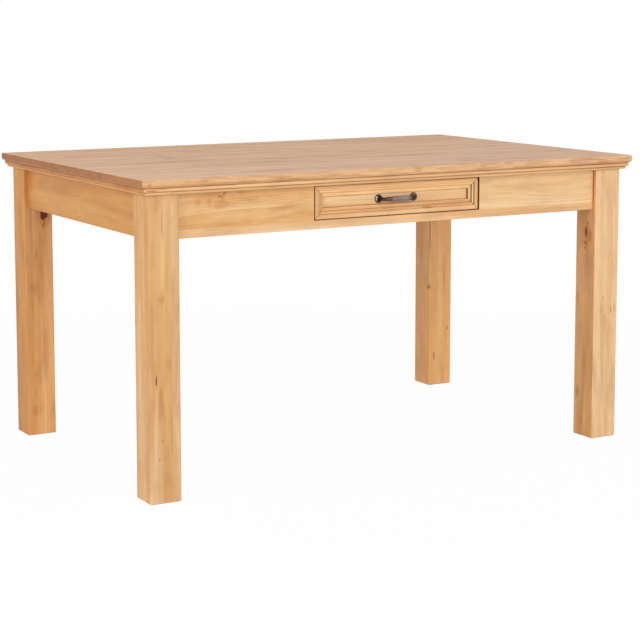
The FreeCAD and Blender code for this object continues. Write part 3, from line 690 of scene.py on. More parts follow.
@dataclass(frozen=True)
class Groove:
    """A darker line, of stain in a groove and of painted shade in a crease or gap: its level, how far
    it reaches and how dark it is.
    """

    measure: Measure
    level: float
    reach: float
    depth: float


@dataclass(frozen=True)
class Pine:
    """Lacquered pine, cut for one piece from its own trunk.

    The heart is a point on the middle of the trunk, in the table's axes. The tint multiplies the
    colours all over, and the side tone once more on faces that look the side way: painted shade,
    where those faces get less light. Where there is a right side tone, the side tone goes over to
    it between the side ends, along the table: painted light that changes from one end to the other.
    """

    name: str
    grain: Grain
    heart: Triple
    tint: Triple = PLAIN
    # The side tone and the right side tone are painted shade on faces that look the side way
    side: Triple = PLAIN
    side_way: Triple = (1.0, 0.0, 0.0)
    side_shade_right: Triple | None = None
    side_ends: Pair = (-0.6, 0.6)
    # The colours: between the rings, in broad streaks there, in the rings, and of the end grain
    light: Colour = (240, 200, 150)
    warm: Colour = (226, 176, 118)
    dark: Colour = (190, 134, 80)
    end: Colour = (158, 98, 56)
    # The trunk: the width of its rings, how far its heart leans along it, and its own noise
    ring: float = 0.0055
    lean: Pair = (0.012, -0.008)
    seed: float = 0.0
    # How dark its rings are, and the clouds, fine bands and flames between them
    contrast: float = 0.5
    cloud: float = 0.35
    band: float = 0.16
    flame: float = 0.0
    # The surface: the wood's roughness and shine, its lacquer, and the relief of its fibres
    gloss: float = 0.38
    shine: float = 0.22
    lacquer: float = 0.06
    lacquer_roughness: float = 0.3
    relief: Relief = Relief(0.1, 0.3 * MM)
    # What marks it, and the drawer front's middle and half size, which insets are measured from
    knots: tuple[Knot, ...] = ()
    staves: Staves | None = None
    grooves: tuple[Groove, ...] = ()
    front_middle: Triple = (0.0, 0.0, 0.671)
    front_half: Pair = (0.236, 0.040)
    # How far a face has to turn: to an end, to a side, and to level, where no stain or painted shade
    # stays
    end_turn: Pair = (0.45, 0.85)
    side_turn: Pair = (0.5, 0.8)
    level_turn: Pair = (0.6, 0.95)
    # The slow change of the stain and painted shade along a groove: cells per metre, noise and share
    stain_cells: Triple = (11.0, 11.0, 11.0)
    stain_noise: Pair = (0.35, 0.65)
    stain_share: Pair = (0.6, 1.0)

    def stain_and_shade(self, g: Graph, kit: GroupKit, spot: Socket, facing: Socket) -> Socket:
        """How much stain and painted shade lie at a point: the most that any groove leaves there.

        Only faces that stand upright hold it, with a slow change along the piece.

        Args:
            g: the material's graph.
            kit: the shared shader groups.
            spot: the point, in object coordinates.
            facing: the face's own direction.

        Returns:
            A share from 0 to 1.
        """
        edges = {"Vector": spot, "Middle": self.front_middle}
        edges |= {"Half Length": self.front_half[0], "Half Height": self.front_half[1]}
        frame = None
        found: object = 0.0
        for groove in self.grooves:
            if groove.measure is Measure.HEIGHT:
                value = g.part(spot, 2)
            else:
                frame = frame or kit.place(g, FrameInset(), edges)
                value = frame.outputs["Distance" if groove.measure is Measure.INSET else "Mitre"]
            away = g.math("ABSOLUTE", g.math("SUBTRACT", value, groove.level))
            found = g.math("MAXIMUM", g.span(away, 0.0, groove.reach, groove.depth, 0.0), found)
        level = g.math("ABSOLUTE", g.vector("DOT_PRODUCT", facing, UP))
        noise = g.noise(spot, self.stain_cells, 3.0).outputs[0]
        patch = g.span(noise, *self.stain_noise, *self.stain_share)
        upright = g.span(level, *self.level_turn, 1.0, 0.0)
        return g.math("MULTIPLY", found, g.math("MULTIPLY", patch, upright))

    def knot_levels(self, g: Graph, kit: GroupKit, spot: Socket) -> dict[str, Socket]:
        """The core, halo and ring of all knots, each knot added to those before it.

        Args:
            g: the material's graph.
            kit: the shared shader groups.
            spot: the point, in object coordinates.

        Returns:
            The three levels by name, or none where there is no knot.
        """
        levels: dict[str, Socket] = {}
        for knot in self.knots:
            mark = {"Vector": spot, "Centre": knot.centre, "Radii": knot.radii, "Depth": knot.depth}
            made = kit.place(g, KnotMarks(), mark | levels)
            levels = {name: made.outputs[name] for name in ("Core", "Halo", "Ring")}
        return levels

    def side_shaded(self, g: Graph, spot: Socket, aside: Socket, colour: Socket) -> Socket:
        """Multiplies the colour by the side tone where a face looks the side way: painted shade.

        Args:
            g: the material's graph.
            spot: the point, in object coordinates.
            aside: how far the face looks that way.
            colour: the colour without the tone.

        Returns:
            The colour with it.
        """
        tone: object = self.side
        if self.side_shade_right:
            along = g.span(g.part(spot, 0), *self.side_ends)
            tone = g.blend(along, (*self.side, 1.0), (*self.side_shade_right, 1.0))
        return g.blend(g.span(aside, *self.side_turn), colour, g.vector("MULTIPLY", colour, tone))

    def make(self, kit: GroupKit) -> bpy.types.Material:
        """Builds the material.

        Args:
            kit: the shared shader groups.

        Returns:
            The material, on the piece's own object coordinates.
        """
        material, g, shader = blank_material(self.name)
        here = g.add("TexCoord")
        spot, facing = here.outputs["Object"], here.outputs["Normal"]
        from_heart = g.vector("SUBTRACT", spot, self.heart)
        turned_back = g.add("Mapping", {"Vector": from_heart, "Rotation": self.grain.value})
        endways = g.math("ABSOLUTE", g.vector("DOT_PRODUCT", facing, self.grain.direction))
        aside = g.math("ABSOLUTE", g.vector("DOT_PRODUCT", facing, self.side_way))
        values = {
            "Vector": turned_back.outputs[0],
            "Lean": (0.0, *self.lean),
            "Light": linear(self.light, self.tint),
            "Warm": linear(self.warm, self.tint),
            "Dark": linear(self.dark, self.tint),
            "End": linear(self.end),
            "Ring Width": self.ring,
            "Contrast": self.contrast,
            "Cloud": self.cloud,
            "Band": self.band,
            "Flame": g.span(aside, *self.side_turn, 0.0, self.flame) if self.flame else 0.0,
            "Seed": self.seed,
            "Gloss": self.gloss,
            "End Share": g.span(endways, *self.end_turn),
        }
        values |= self.knot_levels(g, kit, spot)
        if self.staves:
            first, second = self.staves.edges
            lines = {"Across": self.staves.across, "First Edge": first, "Second Edge": second}
            count = kit.place(g, StaveCount(), {"Vector": spot} | lines).outputs["Count"]
            values |= {"Stave": count, "Stave Tone": self.staves.tone}
        # stain and painted shade along the grooves
        if self.grooves:
            values["Groove"] = self.stain_and_shade(g, kit, spot, facing)
        wood = kit.place(g, Timber(), values)
        colour = wood.outputs["Color"]
        # painted shade on the faces that look the side way
        if self.side != PLAIN:
            colour = self.side_shaded(g, spot, aside, colour)
        g.feed(shader.inputs["Base Color"], colour)
        g.feed(shader.inputs["Roughness"], wood.outputs["Roughness"])
        shader.inputs["Specular IOR Level"].default_value = self.shine
        shader.inputs["Coat Weight"].default_value = self.lacquer
        shader.inputs["Coat Roughness"].default_value = self.lacquer_roughness
        self.relief.press(g, shader, wood.outputs["Height"])
        return material


@dataclass(frozen=True)
class Rub:
    """Where hands have rubbed a dark patina to bright metal, which on the pull also stands for a
    painted highlight: an ellipsoid.
    """

    centre: Triple
    radii: Triple


@dataclass(frozen=True)
class Metal:
    """A metal with a soft change of colour and sheen over its surface.

    The cells are those of its clouds, per metre, and the specks are finer by their own factor.
    """

    name: str
    deep: Colour
    bright: Colour
    roughness: Pair
    cells: float = 60.0
    specks: float = 25.0
    cloud: Pair = (0.3, 0.7)
    relief: Relief = Relief(0.15, 0.1 * MM)
    # the rubbed colour: bright metal, and on the pull also a painted highlight
    rubbed: Colour = (150, 134, 130)
    rubs: tuple[Rub, ...] = ()
    rub_edge: Pair = (0.6, 1.1)
    rub_noise: Pair = (0.2, 0.6)
    rub_share: Pair = (0.75, 1.0)

    def rub_and_highlight(self, g: Graph, spot: Socket) -> Socket:
        """How rubbed a point is, where the rubbed metal on the pull is also a painted highlight.

        Its size is its distance from a rub's centre over the radii. It is fully rubbed up to
        where the rub's edge starts, and not at all from where it ends.

        Args:
            g: the material's graph.
            spot: the point, in object coordinates.

        Returns:
            A share from 0 to 1.
        """
        found: object = 0.0
        for rub in self.rubs:
            away = g.vector("DIVIDE", g.vector("SUBTRACT", spot, rub.centre), rub.radii)
            share = g.span(g.vector("LENGTH", away), *self.rub_edge, 1.0, 0.0)
            found = g.math("MAXIMUM", share, found)
        return found

    def make(self, kit: GroupKit) -> bpy.types.Material:
        """Builds the material: its clouds mix the two colours and the sheen.

        Args:
            kit: the shared shader groups, which a metal doesn't need.

        Returns:
            The material.
        """
        del kit
        material, g, shader = blank_material(self.name)
        spot = g.add("TexCoord").outputs["Object"]
        fine = self.cells * self.specks
        cloud = g.noise(spot, (self.cells, self.cells, self.cells), 3.0).outputs[0]
        speck = g.noise(spot, (fine, fine, fine), 1.0).outputs[0]
        colour = g.blend(g.span(cloud, *self.cloud), linear(self.deep), linear(self.bright))
        # rubbed bright metal, which on the pull is also a painted highlight
        if self.rubs:
            patchy = g.span(cloud, *self.rub_noise, *self.rub_share)
            rub_highlight_share = g.math("MULTIPLY", self.rub_and_highlight(g, spot), patchy)
            colour = g.blend(rub_highlight_share, colour, linear(self.rubbed))
        g.feed(shader.inputs["Base Color"], colour)
        g.feed(shader.inputs["Roughness"], g.span(cloud, *self.cloud, *self.roughness))
        shader.inputs["Metallic"].default_value = 1.0
        self.relief.press(g, shader, speck)
        return material


@dataclass(frozen=True)
class Sheet:
    """A thin pressed wood-fibre sheet: fine flat chips in two tones."""

    name: str
    pale: Colour = (214, 184, 142)
    brown: Colour = (186, 150, 106)
    cells: Triple = (300.0, 900.0, 900.0)
    edge: Pair = (0.35, 0.65)
    roughness: Pair = (0.5, 0.62)
    relief: Relief = Relief(0.1, 0.2 * MM)

    def make(self, kit: GroupKit) -> bpy.types.Material:
        """Builds the material from fine noise that is stretched along the sheet.

        Args:
            kit: the shared shader groups, which a sheet doesn't need.

        Returns:
            The material.
        """
        del kit
        material, g, shader = blank_material(self.name)
        spot = g.add("TexCoord").outputs["Object"]
        chips = g.span(g.noise(spot, self.cells, 3.0).outputs[0], *self.edge)
        g.feed(shader.inputs["Base Color"], g.blend(chips, linear(self.brown), linear(self.pale)))
        g.feed(shader.inputs["Roughness"], g.span(chips, 0.0, 1.0, *self.roughness))
        self.relief.press(g, shader, chips)
        return material


Finish = Pine | Metal | Sheet


class Workshop:
    """Dresses pieces: it keeps the frame's nodes and makes each finish once."""

    def __init__(self, frame: dict) -> None:
        """Keeps the frame's nodes and an empty store of materials.
        """
        self.nodes = frame["nodes"]
        self.kit = GroupKit()
        self.made: dict[str, bpy.types.Material] = {}

    def material(self, finish: Finish) -> bpy.types.Material:
        """Looks up a finish's material, or makes it on its first use.

        Args:
            finish: the finish.

        Returns:
            Its material.
        """
        if finish.name not in self.made:
            self.made[finish.name] = finish.make(self.kit)
        return self.made[finish.name]

    def dress(self, node: str, finish: Finish) -> None:
        """Gives a CAD node its finish in each of its material slots.

        Args:
            node: the node's name.
            finish: its finish.
        """
        piece = self.nodes[node]
        material = self.material(finish)
        if not piece.material_slots:
            piece.data.materials.append(material)
        for slot in piece.material_slots:
            slot.material = material
        LOG.info("%s: %s", node, finish.name)

    def add(
        self, name: str, skin: "Skin", finish: Metal, slot: str, body: str, stands_for: Sequence[str]
    ) -> None:
        """Args:
            name: the piece's name.
            skin: its surface.
            finish: its metal.
            slot: the record's material slot; not used.
            body: the body it rides on.
            stands_for: the CAD nodes it is shown in place of.
        """
        piece = skin.object(name)
        piece.data.materials.append(self.material(finish))
        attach(piece, body)
        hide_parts(*stands_for)
        LOG.info("%s: %d faces", name, len(piece.data.polygons))


# ---- surfaces ----
class Ends(Enum):
    """How the rows of a grid end: in a point each, or joined into a ring."""

    POLES = "poles"
    RING = "ring"


@dataclass
class Skin:
    """A closed surface: vertices, and faces as rows of vertex numbers."""

    vertices: np.ndarray
    faces: list[list[int]]

    @classmethod
    def from_grid(cls, grid: np.ndarray, ends: Ends = Ends.POLES) -> "Skin":
        """Closes a grid of points into a skin whose faces point outwards.

        Neighbouring points make quads, the columns close round, and the first and last rows
        either shrink to the mean of their points or join each other. The volume under the faces,
        a sixth of the sum of the triple products of their corners, has to be positive; where it
        isn't, the columns are read the other way round.

        Args:
            grid: rows by columns by 3 coordinates.
            ends: how the rows end.

        Returns:
            The skin.
        """
        rows, columns = grid.shape[:2]
        number = np.arange(rows * columns).reshape(rows, columns)
        right = np.roll(number, -1, axis=1)
        below = np.roll(number, -1, axis=0)
        both = np.roll(right, -1, axis=0)
        quads = np.stack([number, below, both, right], axis=-1)
        vertices = grid.reshape(-1, 3)
        if ends is Ends.RING:
            skin = cls(vertices, quads.reshape(-1, 4).tolist())
        else:
            first = rows * columns
            poles = np.array([grid[0].mean(axis=0), grid[-1].mean(axis=0)])
            top = np.stack([np.full(columns, first), number[0], right[0]], axis=-1)
            low = np.stack([np.full(columns, first + 1), right[-1], number[-1]], axis=-1)
            faces = quads[:-1].reshape(-1, 4).tolist() + top.tolist() + low.tolist()
            skin = cls(np.vstack([vertices, poles]), faces)
        if skin.volume() < 0:
            skin.faces = [face[::-1] for face in skin.faces]
        return skin

    def volume(self) -> float:
        """The signed volume that the faces close in, times six.

        Returns:
            The sum of the triple products of the corners of each face, cut into triangles.
        """
        fans = [[f[0], f[k], f[k + 1]] for f in self.faces for k in range(1, len(f) - 1)]
        a, b, c = np.moveaxis(self.vertices[np.array(fans)], 1, 0)
        return float(np.einsum("ij,ij->i", a, np.cross(b, c)).sum())

    def placed(self, frames: np.ndarray) -> "Skin":
        """Copies the skin into each of several frames.

        Args:
            frames: count by 4 by 4 matrices.

        Returns:
            One skin that holds every copy.
        """
        turned_points = np.einsum("kij,nj->kni", frames[:, :3, :3], self.vertices)
        points = turned_points + frames[:, None, :3, 3]
        step = len(self.vertices)
        faces = [[v + step * k for v in face] for k in range(len(frames)) for face in self.faces]
        return Skin(points.reshape(-1, 3), faces)

    def object(self, name: str, crease: float = math.radians(32)) -> bpy.types.Object:
        """Makes the skin an object, smooth but for its sharp edges.

        Args:
            name: the object's name.
            crease: the angle past which an edge is sharp.

        Returns:
            The object, in the scene.
        """
        mesh = bpy.data.meshes.new(name)
        mesh.from_pydata(self.vertices.tolist(), [], self.faces)
        mesh.shade_smooth()
        mesh.set_sharp_from_angle(angle=crease)
        mesh.update()
        piece = bpy.data.objects.new(name, mesh)
        bpy.context.scene.collection.objects.link(piece)
        return piece


def curve_through(points: Sequence[Pair], steps: int) -> np.ndarray:
    """A smooth run of points through given ones, with steps points for each pair.

    It is the Catmull-Rom cubic: between two points, the slope at each is half the difference of
    its neighbours.

    Args:
        points: the points to pass through.
        steps: points for each pair.

    Returns:
        An array of points, the last given one included.
    """
    p = np.array(points, float)
    padded = np.vstack([2 * p[0] - p[1], p, 2 * p[-1] - p[-2]])
    before, start, end, after = (padded[k : len(padded) - 3 + k, None, :] for k in range(4))
    t = np.linspace(0.0, 1.0, steps, endpoint=False)[None, :, None]
    cubic = 2 * start + (end - before) * t
    cubic = cubic + (2 * before - 5 * start + 4 * end - after) * t**2
    cubic = cubic + (3 * start - before - 3 * end + after) * t**3
    return np.vstack([0.5 * cubic.reshape(-1, p.shape[1]), p[-1:]])


def round_angles(columns: int) -> np.ndarray:
    """Angles for a number of columns, evenly round a full turn."""
    return np.linspace(0.0, 2 * math.pi, columns, endpoint=False)


def round_grid(radius: np.ndarray, angle: np.ndarray, height: np.ndarray) -> np.ndarray:
    """Points round the third axis: the radius times the angle's cosine and sine, and the height."""
    return np.stack([radius * np.cos(angle), radius * np.sin(angle), height + 0 * angle], axis=-1)


def turned(profile: np.ndarray, columns: int) -> np.ndarray:
    """A grid for a turned shape: each row of the profile, a radius and a height, goes round."""
    return round_grid(profile[:, :1], round_angles(columns), profile[:, 1:2])


def step_down(value: np.ndarray, edge: float, width: float) -> np.ndarray:
    """1 well under the edge and 0 well over it, with a smooth cubic step of a given width."""
    t = np.clip((edge + width / 2 - value) / width, 0.0, 1.0)
    return t * t * (3 - 2 * t)


def frames_along(places: np.ndarray, ways: np.ndarray, spin: np.ndarray) -> np.ndarray:
    """Frames whose third axis runs along each way, turned about it by each spin.

    The first axis starts as the cross product of the third axis with the way, or of the first
    where the way is nearly upright.

    Args:
        places: count by 3 origins.
        ways: count by 3 unit directions.
        spin: count angles.

    Returns:
        Count by 4 by 4 matrices.
    """
    upright = np.abs(ways[:, 2:3]) > 0.9
    helper = np.where(upright, [[1.0, 0.0, 0.0]], [UP])
    side = np.cross(helper, ways)
    side /= np.linalg.norm(side, axis=1, keepdims=True)
    other = np.cross(ways, side)
    cos, sin = np.cos(spin)[:, None], np.sin(spin)[:, None]
    frames = np.tile(np.eye(4), (len(places), 1, 1))
    frames[:, :3, 0] = side * cos + other * sin
    frames[:, :3, 1] = other * cos - side * sin
    frames[:, :3, 2] = ways
    frames[:, :3, 3] = places
    return frames


# ---- fasteners ----
@dataclass(frozen=True)
class PanScrew:
    """A pan-head screw with a cross recess: its head's underside at the origin, its head up.

    The cap is the head's dome from its middle out, and the rim is its lowest level as a share of
    the head's height. The taper gives the shank's share of its radius at shares of its length.
    The slot and the reach of the recess are shares of the head's radius: where it ends beside a
    line and away from the middle, and how softly.
    """

    shank: float = 1.75 * MM
    length: float = 14 * MM
    head: float = 3.5 * MM
    height: float = 2.0 * MM
    columns: int = 32
    cap_rows: int = 12
    cap_middle: float = 0.04
    rim: float = 0.62
    taper: tuple[Pair, ...] = ((1.0, 0.72), (0.55, 0.9), (0.06, 1.0))
    slot: Pair = (0.2, 0.16)
    reach: Pair = (0.58, 0.2)
    recess: float = 0.62

    def skin(self) -> Skin:
        """The dome, the head's wall, its seat, the shank and the point, turned round the axis.

        The dome is an ellipse over the rim. The recess lowers it where a point is near either of
        two crossed lines and not far from the middle.

        Returns:
            The screw's surface.
        """
        share = np.linspace(self.cap_middle, 1.0, self.cap_rows)
        bulge = np.sqrt(np.clip(1 - share**2, 0.0, 1.0))
        dome = self.height * (self.rim + (1 - self.rim) * bulge)
        cap = np.stack([share * self.head, dome], axis=-1)
        seat = [(self.head, 0.0), (self.shank, 0.0)]
        point = [(thick * self.shank, -down * self.length) for thick, down in self.taper]
        profile = np.vstack([cap, seat, point])
        grid = turned(profile, self.columns)
        radius = np.hypot(grid[..., 0], grid[..., 1])
        nearest = np.minimum(np.abs(grid[..., 0]), np.abs(grid[..., 1]))
        sunk = step_down(nearest / self.head, *self.slot)
        sunk = sunk * step_down(radius / self.head, *self.reach)
        sunk[len(cap) :] = 0.0
        grid[..., 2] -= self.recess * self.height * sunk
        return Skin.from_grid(grid)


@dataclass(frozen=True)
class HangerBolt:
    """A threaded bar: its inner end at the origin, running up.

    The thread ends a little before the tip, which is a share of the bar's radius.
    """

    radius: float = 4 * MM
    length: float = 65.6 * MM
    threaded: float = 22 * MM
    pitch: float = 1.25 * MM
    depth: float = 0.55 * MM
    tip: float = 0.8
    tip_length: float = 0.4 * MM
    columns: int = 20
    rows_per_turn: int = 6

    def skin(self) -> Skin:
        """A round bar whose last part has a thread.

        The thread's depth follows the height over the pitch, less the share of a turn, as a
        triangle wave, which is a helix.

        Returns:
            The bolt's surface.
        """
        start = self.length - self.threaded
        rows = round(self.threaded / self.pitch) * self.rows_per_turn
        fine = np.linspace(start + self.pitch, self.length - self.tip_length, rows)
        height = np.concatenate([[0.0, start], fine, [self.length]])[:, None]
        turn = np.arange(self.columns) / self.columns
        phase = (height / self.pitch - turn) % 1.0
        cut = np.abs(phase - 0.5) * 2.0 * self.depth
        cut[:2] = 0.0
        radius = self.radius - cut
        radius[-1] = self.tip * self.radius
        return Skin.from_grid(round_grid(radius, turn * 2 * math.pi, height))


@dataclass(frozen=True)
class HexNut:
    """A hexagon nut on its lower face, with eased corners.

    Its two faces end at a circle that stands out past the flats by a share.
    """

    flats: float = 13 * MM
    bore: float = 4.05 * MM
    height: float = 6.5 * MM
    ease: float = 0.8 * MM
    mouth: float = 0.6 * MM
    face: float = 1.01
    columns: int = 48

    def skin(self) -> Skin:
        """A ring of rows from the bore, over the lower face, up the flats and over the upper face.

        A flat's distance from the axis is half the size over the cosine of the angle from the
        flat's middle. On the two faces that distance is held to a circle.

        Returns:
            The nut's surface.
        """
        angle = round_angles(self.columns)
        off = (angle + math.pi / 6) % (math.pi / 3) - math.pi / 6
        hexagon = self.flats / 2 / np.cos(off)
        circle = np.minimum(hexagon, self.flats / 2 * self.face)
        bore = np.full_like(angle, self.bore)
        mouth = bore + self.mouth
        t, e, m = self.height, self.ease, self.mouth
        rows = [(bore, m), (mouth, 0.0), (circle, 0.0), (hexagon, e)]
        rows += [(hexagon, t - e), (circle, t), (mouth, t), (bore, t - m)]
        radius = np.stack([r for r, _ in rows])
        height = np.array([z for _, z in rows])[:, None]
        return Skin.from_grid(round_grid(radius, angle, height), Ends.RING)


@dataclass(frozen=True)
class Washer:
    """A flat washer on its lower face."""

    outer: float = 8 * MM
    bore: float = 4.05 * MM
    height: float = 1.6 * MM
    ease: float = 0.3 * MM
    columns: int = 40

    def skin(self) -> Skin:
        """A ring: bore, lower face, eased rim and upper face, turned round the axis.

        Returns:
            The washer's surface.
        """
        o, b, t, e = self.outer, self.bore, self.height, self.ease
        rows = [(b, 0.0), (o - e, 0.0), (o, e), (o, t - e), (o - e, t), (b, t)]
        return Skin.from_grid(turned(np.array(rows), self.columns), Ends.RING)


# ---- the table's plan ----
SIDES = {"left": -1, "right": 1}


@dataclass(frozen=True)
class Plan:
    """The sizes that drive the table, and the places that follow from them."""

    length: float = 1400 * MM
    width: float = 900 * MM
    height: float = 750 * MM
    slab: float = 20 * MM
    strip: float = 16 * MM
    overhang: float = 22.5 * MM
    leg_side: float = 78 * MM
    leg_seat: float = 30 * MM
    apron_recess: float = 13 * MM
    apron_thickness: float = 24 * MM
    apron_height: float = 105 * MM
    opening: float = 478 * MM
    cross_rail: float = 22 * MM
    bolt_spacing: float = 45 * MM
    bracket_gap: float = 6 * MM
    flange: float = 32 * MM
    corners: tuple[tuple[int, int], ...] = ((-1, -1), (1, -1), (-1, 1), (1, 1))

    @property
    def leg_faces(self) -> Pair:
        """How far the legs' outer faces are from the middle, along the table and across it."""
        return (self.length / 2 - self.overhang, self.width / 2 - self.overhang)

    @property
    def leg_insides(self) -> Pair:
        """How far the legs' inner sides are from the middle, along the table and across it."""
        x, y = self.leg_faces
        return (x - self.leg_side, y - self.leg_side)

    @property
    def apron_depth(self) -> float:
        """From a leg's outer face to the inner face of the apron."""
        return self.apron_recess + self.apron_thickness

    @property
    def strip_levels(self) -> Pair:
        """The levels of the strips' lower and upper sides. The frame ends at the lower one."""
        top = self.height - self.slab
        return (top - self.strip, top)

    @property
    def bolt_levels(self) -> Pair:
        """The levels of the bolts, evenly under and over the middle of the aprons."""
        middle, half = self.strip_levels[0] - self.apron_height / 2, self.bolt_spacing / 2
        return (middle - half, middle + half)

    @property
    def flange_start(self) -> float:
        """Where a bracket's flanges start, inwards from a leg's outer corner."""
        # What x + y comes to on the side of the bracket's web that faces the leg
        web = 2 * self.leg_side - self.leg_seat + self.bracket_gap * math.sqrt(2)
        return web - self.apron_depth

    def at_corner(self, inwards: np.ndarray, sx: int, sy: int) -> np.ndarray:
        """Places a point given inwards from a leg's outer corner, whose sides are -1 or 1."""
        x, y = self.leg_faces
        return np.array([sx * x, sy * y, 0.0]) - inwards * np.array([sx, sy, -1.0])


# ---- the table's metalwork ----
ZINC = Metal("zinc_plating", (172, 174, 174), (190, 191, 189), (0.38, 0.46))
ZINC_SCREW = Metal("zinc_screw", (150, 146, 130), (190, 186, 168), (0.25, 0.38), 200.0)
BRONZE = Metal("aged_bronze", (58, 42, 34), (92, 72, 62), (0.34, 0.5), 45.0)


@dataclass
class CornerIrons:
    """Bolts, nuts, washers and screws that draw each leg into its corner."""

    plan: Plan = Plan()
    bolt_depth: float = 45 * MM
    plate: float = 2.5 * MM
    washer: float = 1.6 * MM
    seed: int = 5

    def diagonal_frames(self, distance: float) -> np.ndarray:
        """Frames on each corner's diagonal, one at each level of the bolts.

        Args:
            distance: how far inwards they lie from the leg's seat.

        Returns:
            Count by 4 by 4 matrices, their third axes inwards.
        """
        reach = self.plan.leg_side - self.plan.leg_seat / 2 + distance / math.sqrt(2)
        places, ways = [], []
        for sx, sy in self.plan.corners:
            for level in self.plan.bolt_levels:
                places.append(self.plan.at_corner(np.array([reach, reach, level]), sx, sy))
                ways.append((-sx / math.sqrt(2), -sy / math.sqrt(2), 0.0))
        return frames_along(np.array(places), np.array(ways), np.zeros(len(places)))

    def screw_frames(self) -> np.ndarray:
        """Frames of the screws through both flanges of each bracket, heads inwards.

        Returns:
            Count by 4 by 4 matrices.
        """
        p = self.plan
        along, face = p.flange_start + p.flange / 2, p.apron_depth + self.plate
        places, ways = [], []
        for sx, sy in p.corners:
            for level in p.bolt_levels:
                places.append(p.at_corner(np.array((along, face, level)), sx, sy))
                places.append(p.at_corner(np.array((face, along, level)), sx, sy))
                ways += [(0.0, -sy, 0.0), (-sx, 0.0, 0.0)]
        spin = np.random.default_rng(self.seed).uniform(0.0, math.pi, len(places))
        return frames_along(np.array(places), np.array(ways, float), spin)

    def build(self, shop: Workshop) -> None:
        """Makes the four sets of fasteners and dresses the brackets.

        Args:
            shop: what dresses the pieces.
        """
        web = self.plan.bracket_gap + self.plate
        bolt = HangerBolt().skin().placed(self.diagonal_frames(-self.bolt_depth))
        shop.add("leg_bolts", bolt, ZINC_SCREW, "zinc_screw", "table", ["hanger_bolts"])
        washers = Washer().skin().placed(self.diagonal_frames(web))
        shop.add("leg_washers", washers, ZINC_SCREW, "zinc_screw", "table", ["bolt_washers"])
        nuts = HexNut().skin().placed(self.diagonal_frames(web + self.washer))
        shop.add("leg_nuts", nuts, ZINC_SCREW, "zinc_screw", "table", ["bolt_nuts"])
        screws = PanScrew().skin().placed(self.screw_frames())
        shop.add("flange_screws", screws, ZINC_SCREW, "zinc_screw", "table", ["bracket_screws"])
        for corner in ("front_left", "front_right", "back_left", "back_right"):
            shop.dress("corner_bracket_" + corner, ZINC)


@dataclass
class TopAngles:
    """The angles that hold the top to the aprons, and their screws."""

    plan: Plan = Plan()
    leg: float = 24 * MM
    plate: float = 2 * MM
    seed: int = 8

    def screw_frames(self) -> np.ndarray:
        """Frames of the two screws in each angle: one into the apron and one up into the rim.

        On a long apron an angle stands midway between the bracket and the cross rail, and on a
        short one midway between the bracket and the apron's middle.

        Returns:
            Count by 4 by 4 matrices.
        """
        p, middle = self.plan, (self.plate + self.leg) / 2
        leg_x, leg_y = p.leg_faces
        bracket_end = p.flange_start + p.flange
        along_x = (p.opening / 2 + p.cross_rail + leg_x - bracket_end) / 2
        along_y = (leg_y - bracket_end) / 2
        inner_x, inner_y = leg_x - p.apron_depth, leg_y - p.apron_depth
        top, _ = p.strip_levels
        pairs = [(s, t) for s in (-1, 1) for t in (-1, 1)]
        heels = [((s * along_x, t * inner_y), (0.0, -t)) for s, t in pairs]
        heels += [((t * inner_x, s * along_y), (-t, 0.0)) for s, t in pairs]
        places, ways = [], []
        for (x, y), (u, v) in heels:
            places.append((x + u * self.plate, y + v * self.plate, top - middle))
            places.append((x + u * middle, y + v * middle, top - self.plate))
            ways += [(u, v, 0.0), (0.0, 0.0, -1.0)]
        spin = np.random.default_rng(self.seed).uniform(0.0, math.pi, len(places))
        return frames_along(np.array(places), np.array(ways), spin)

    def build(self, shop: Workshop) -> None:
        """Makes the screws and dresses the angles.

        Args:
            shop: what dresses the pieces.
        """
        screws = PanScrew().skin().placed(self.screw_frames())
        shop.add("top_screws", screws, ZINC_SCREW, "zinc_screw", "table", ["top_fixing_screws"])
        shop.dress("top_fixing_angles", ZINC)


@dataclass(frozen=True)
class RosetteHighlight:
    """A painted highlight on a rosette: the rub, from the rosette's middle, and the colour it leaves.
    """

    rub: Rub
    rubbed: Colour


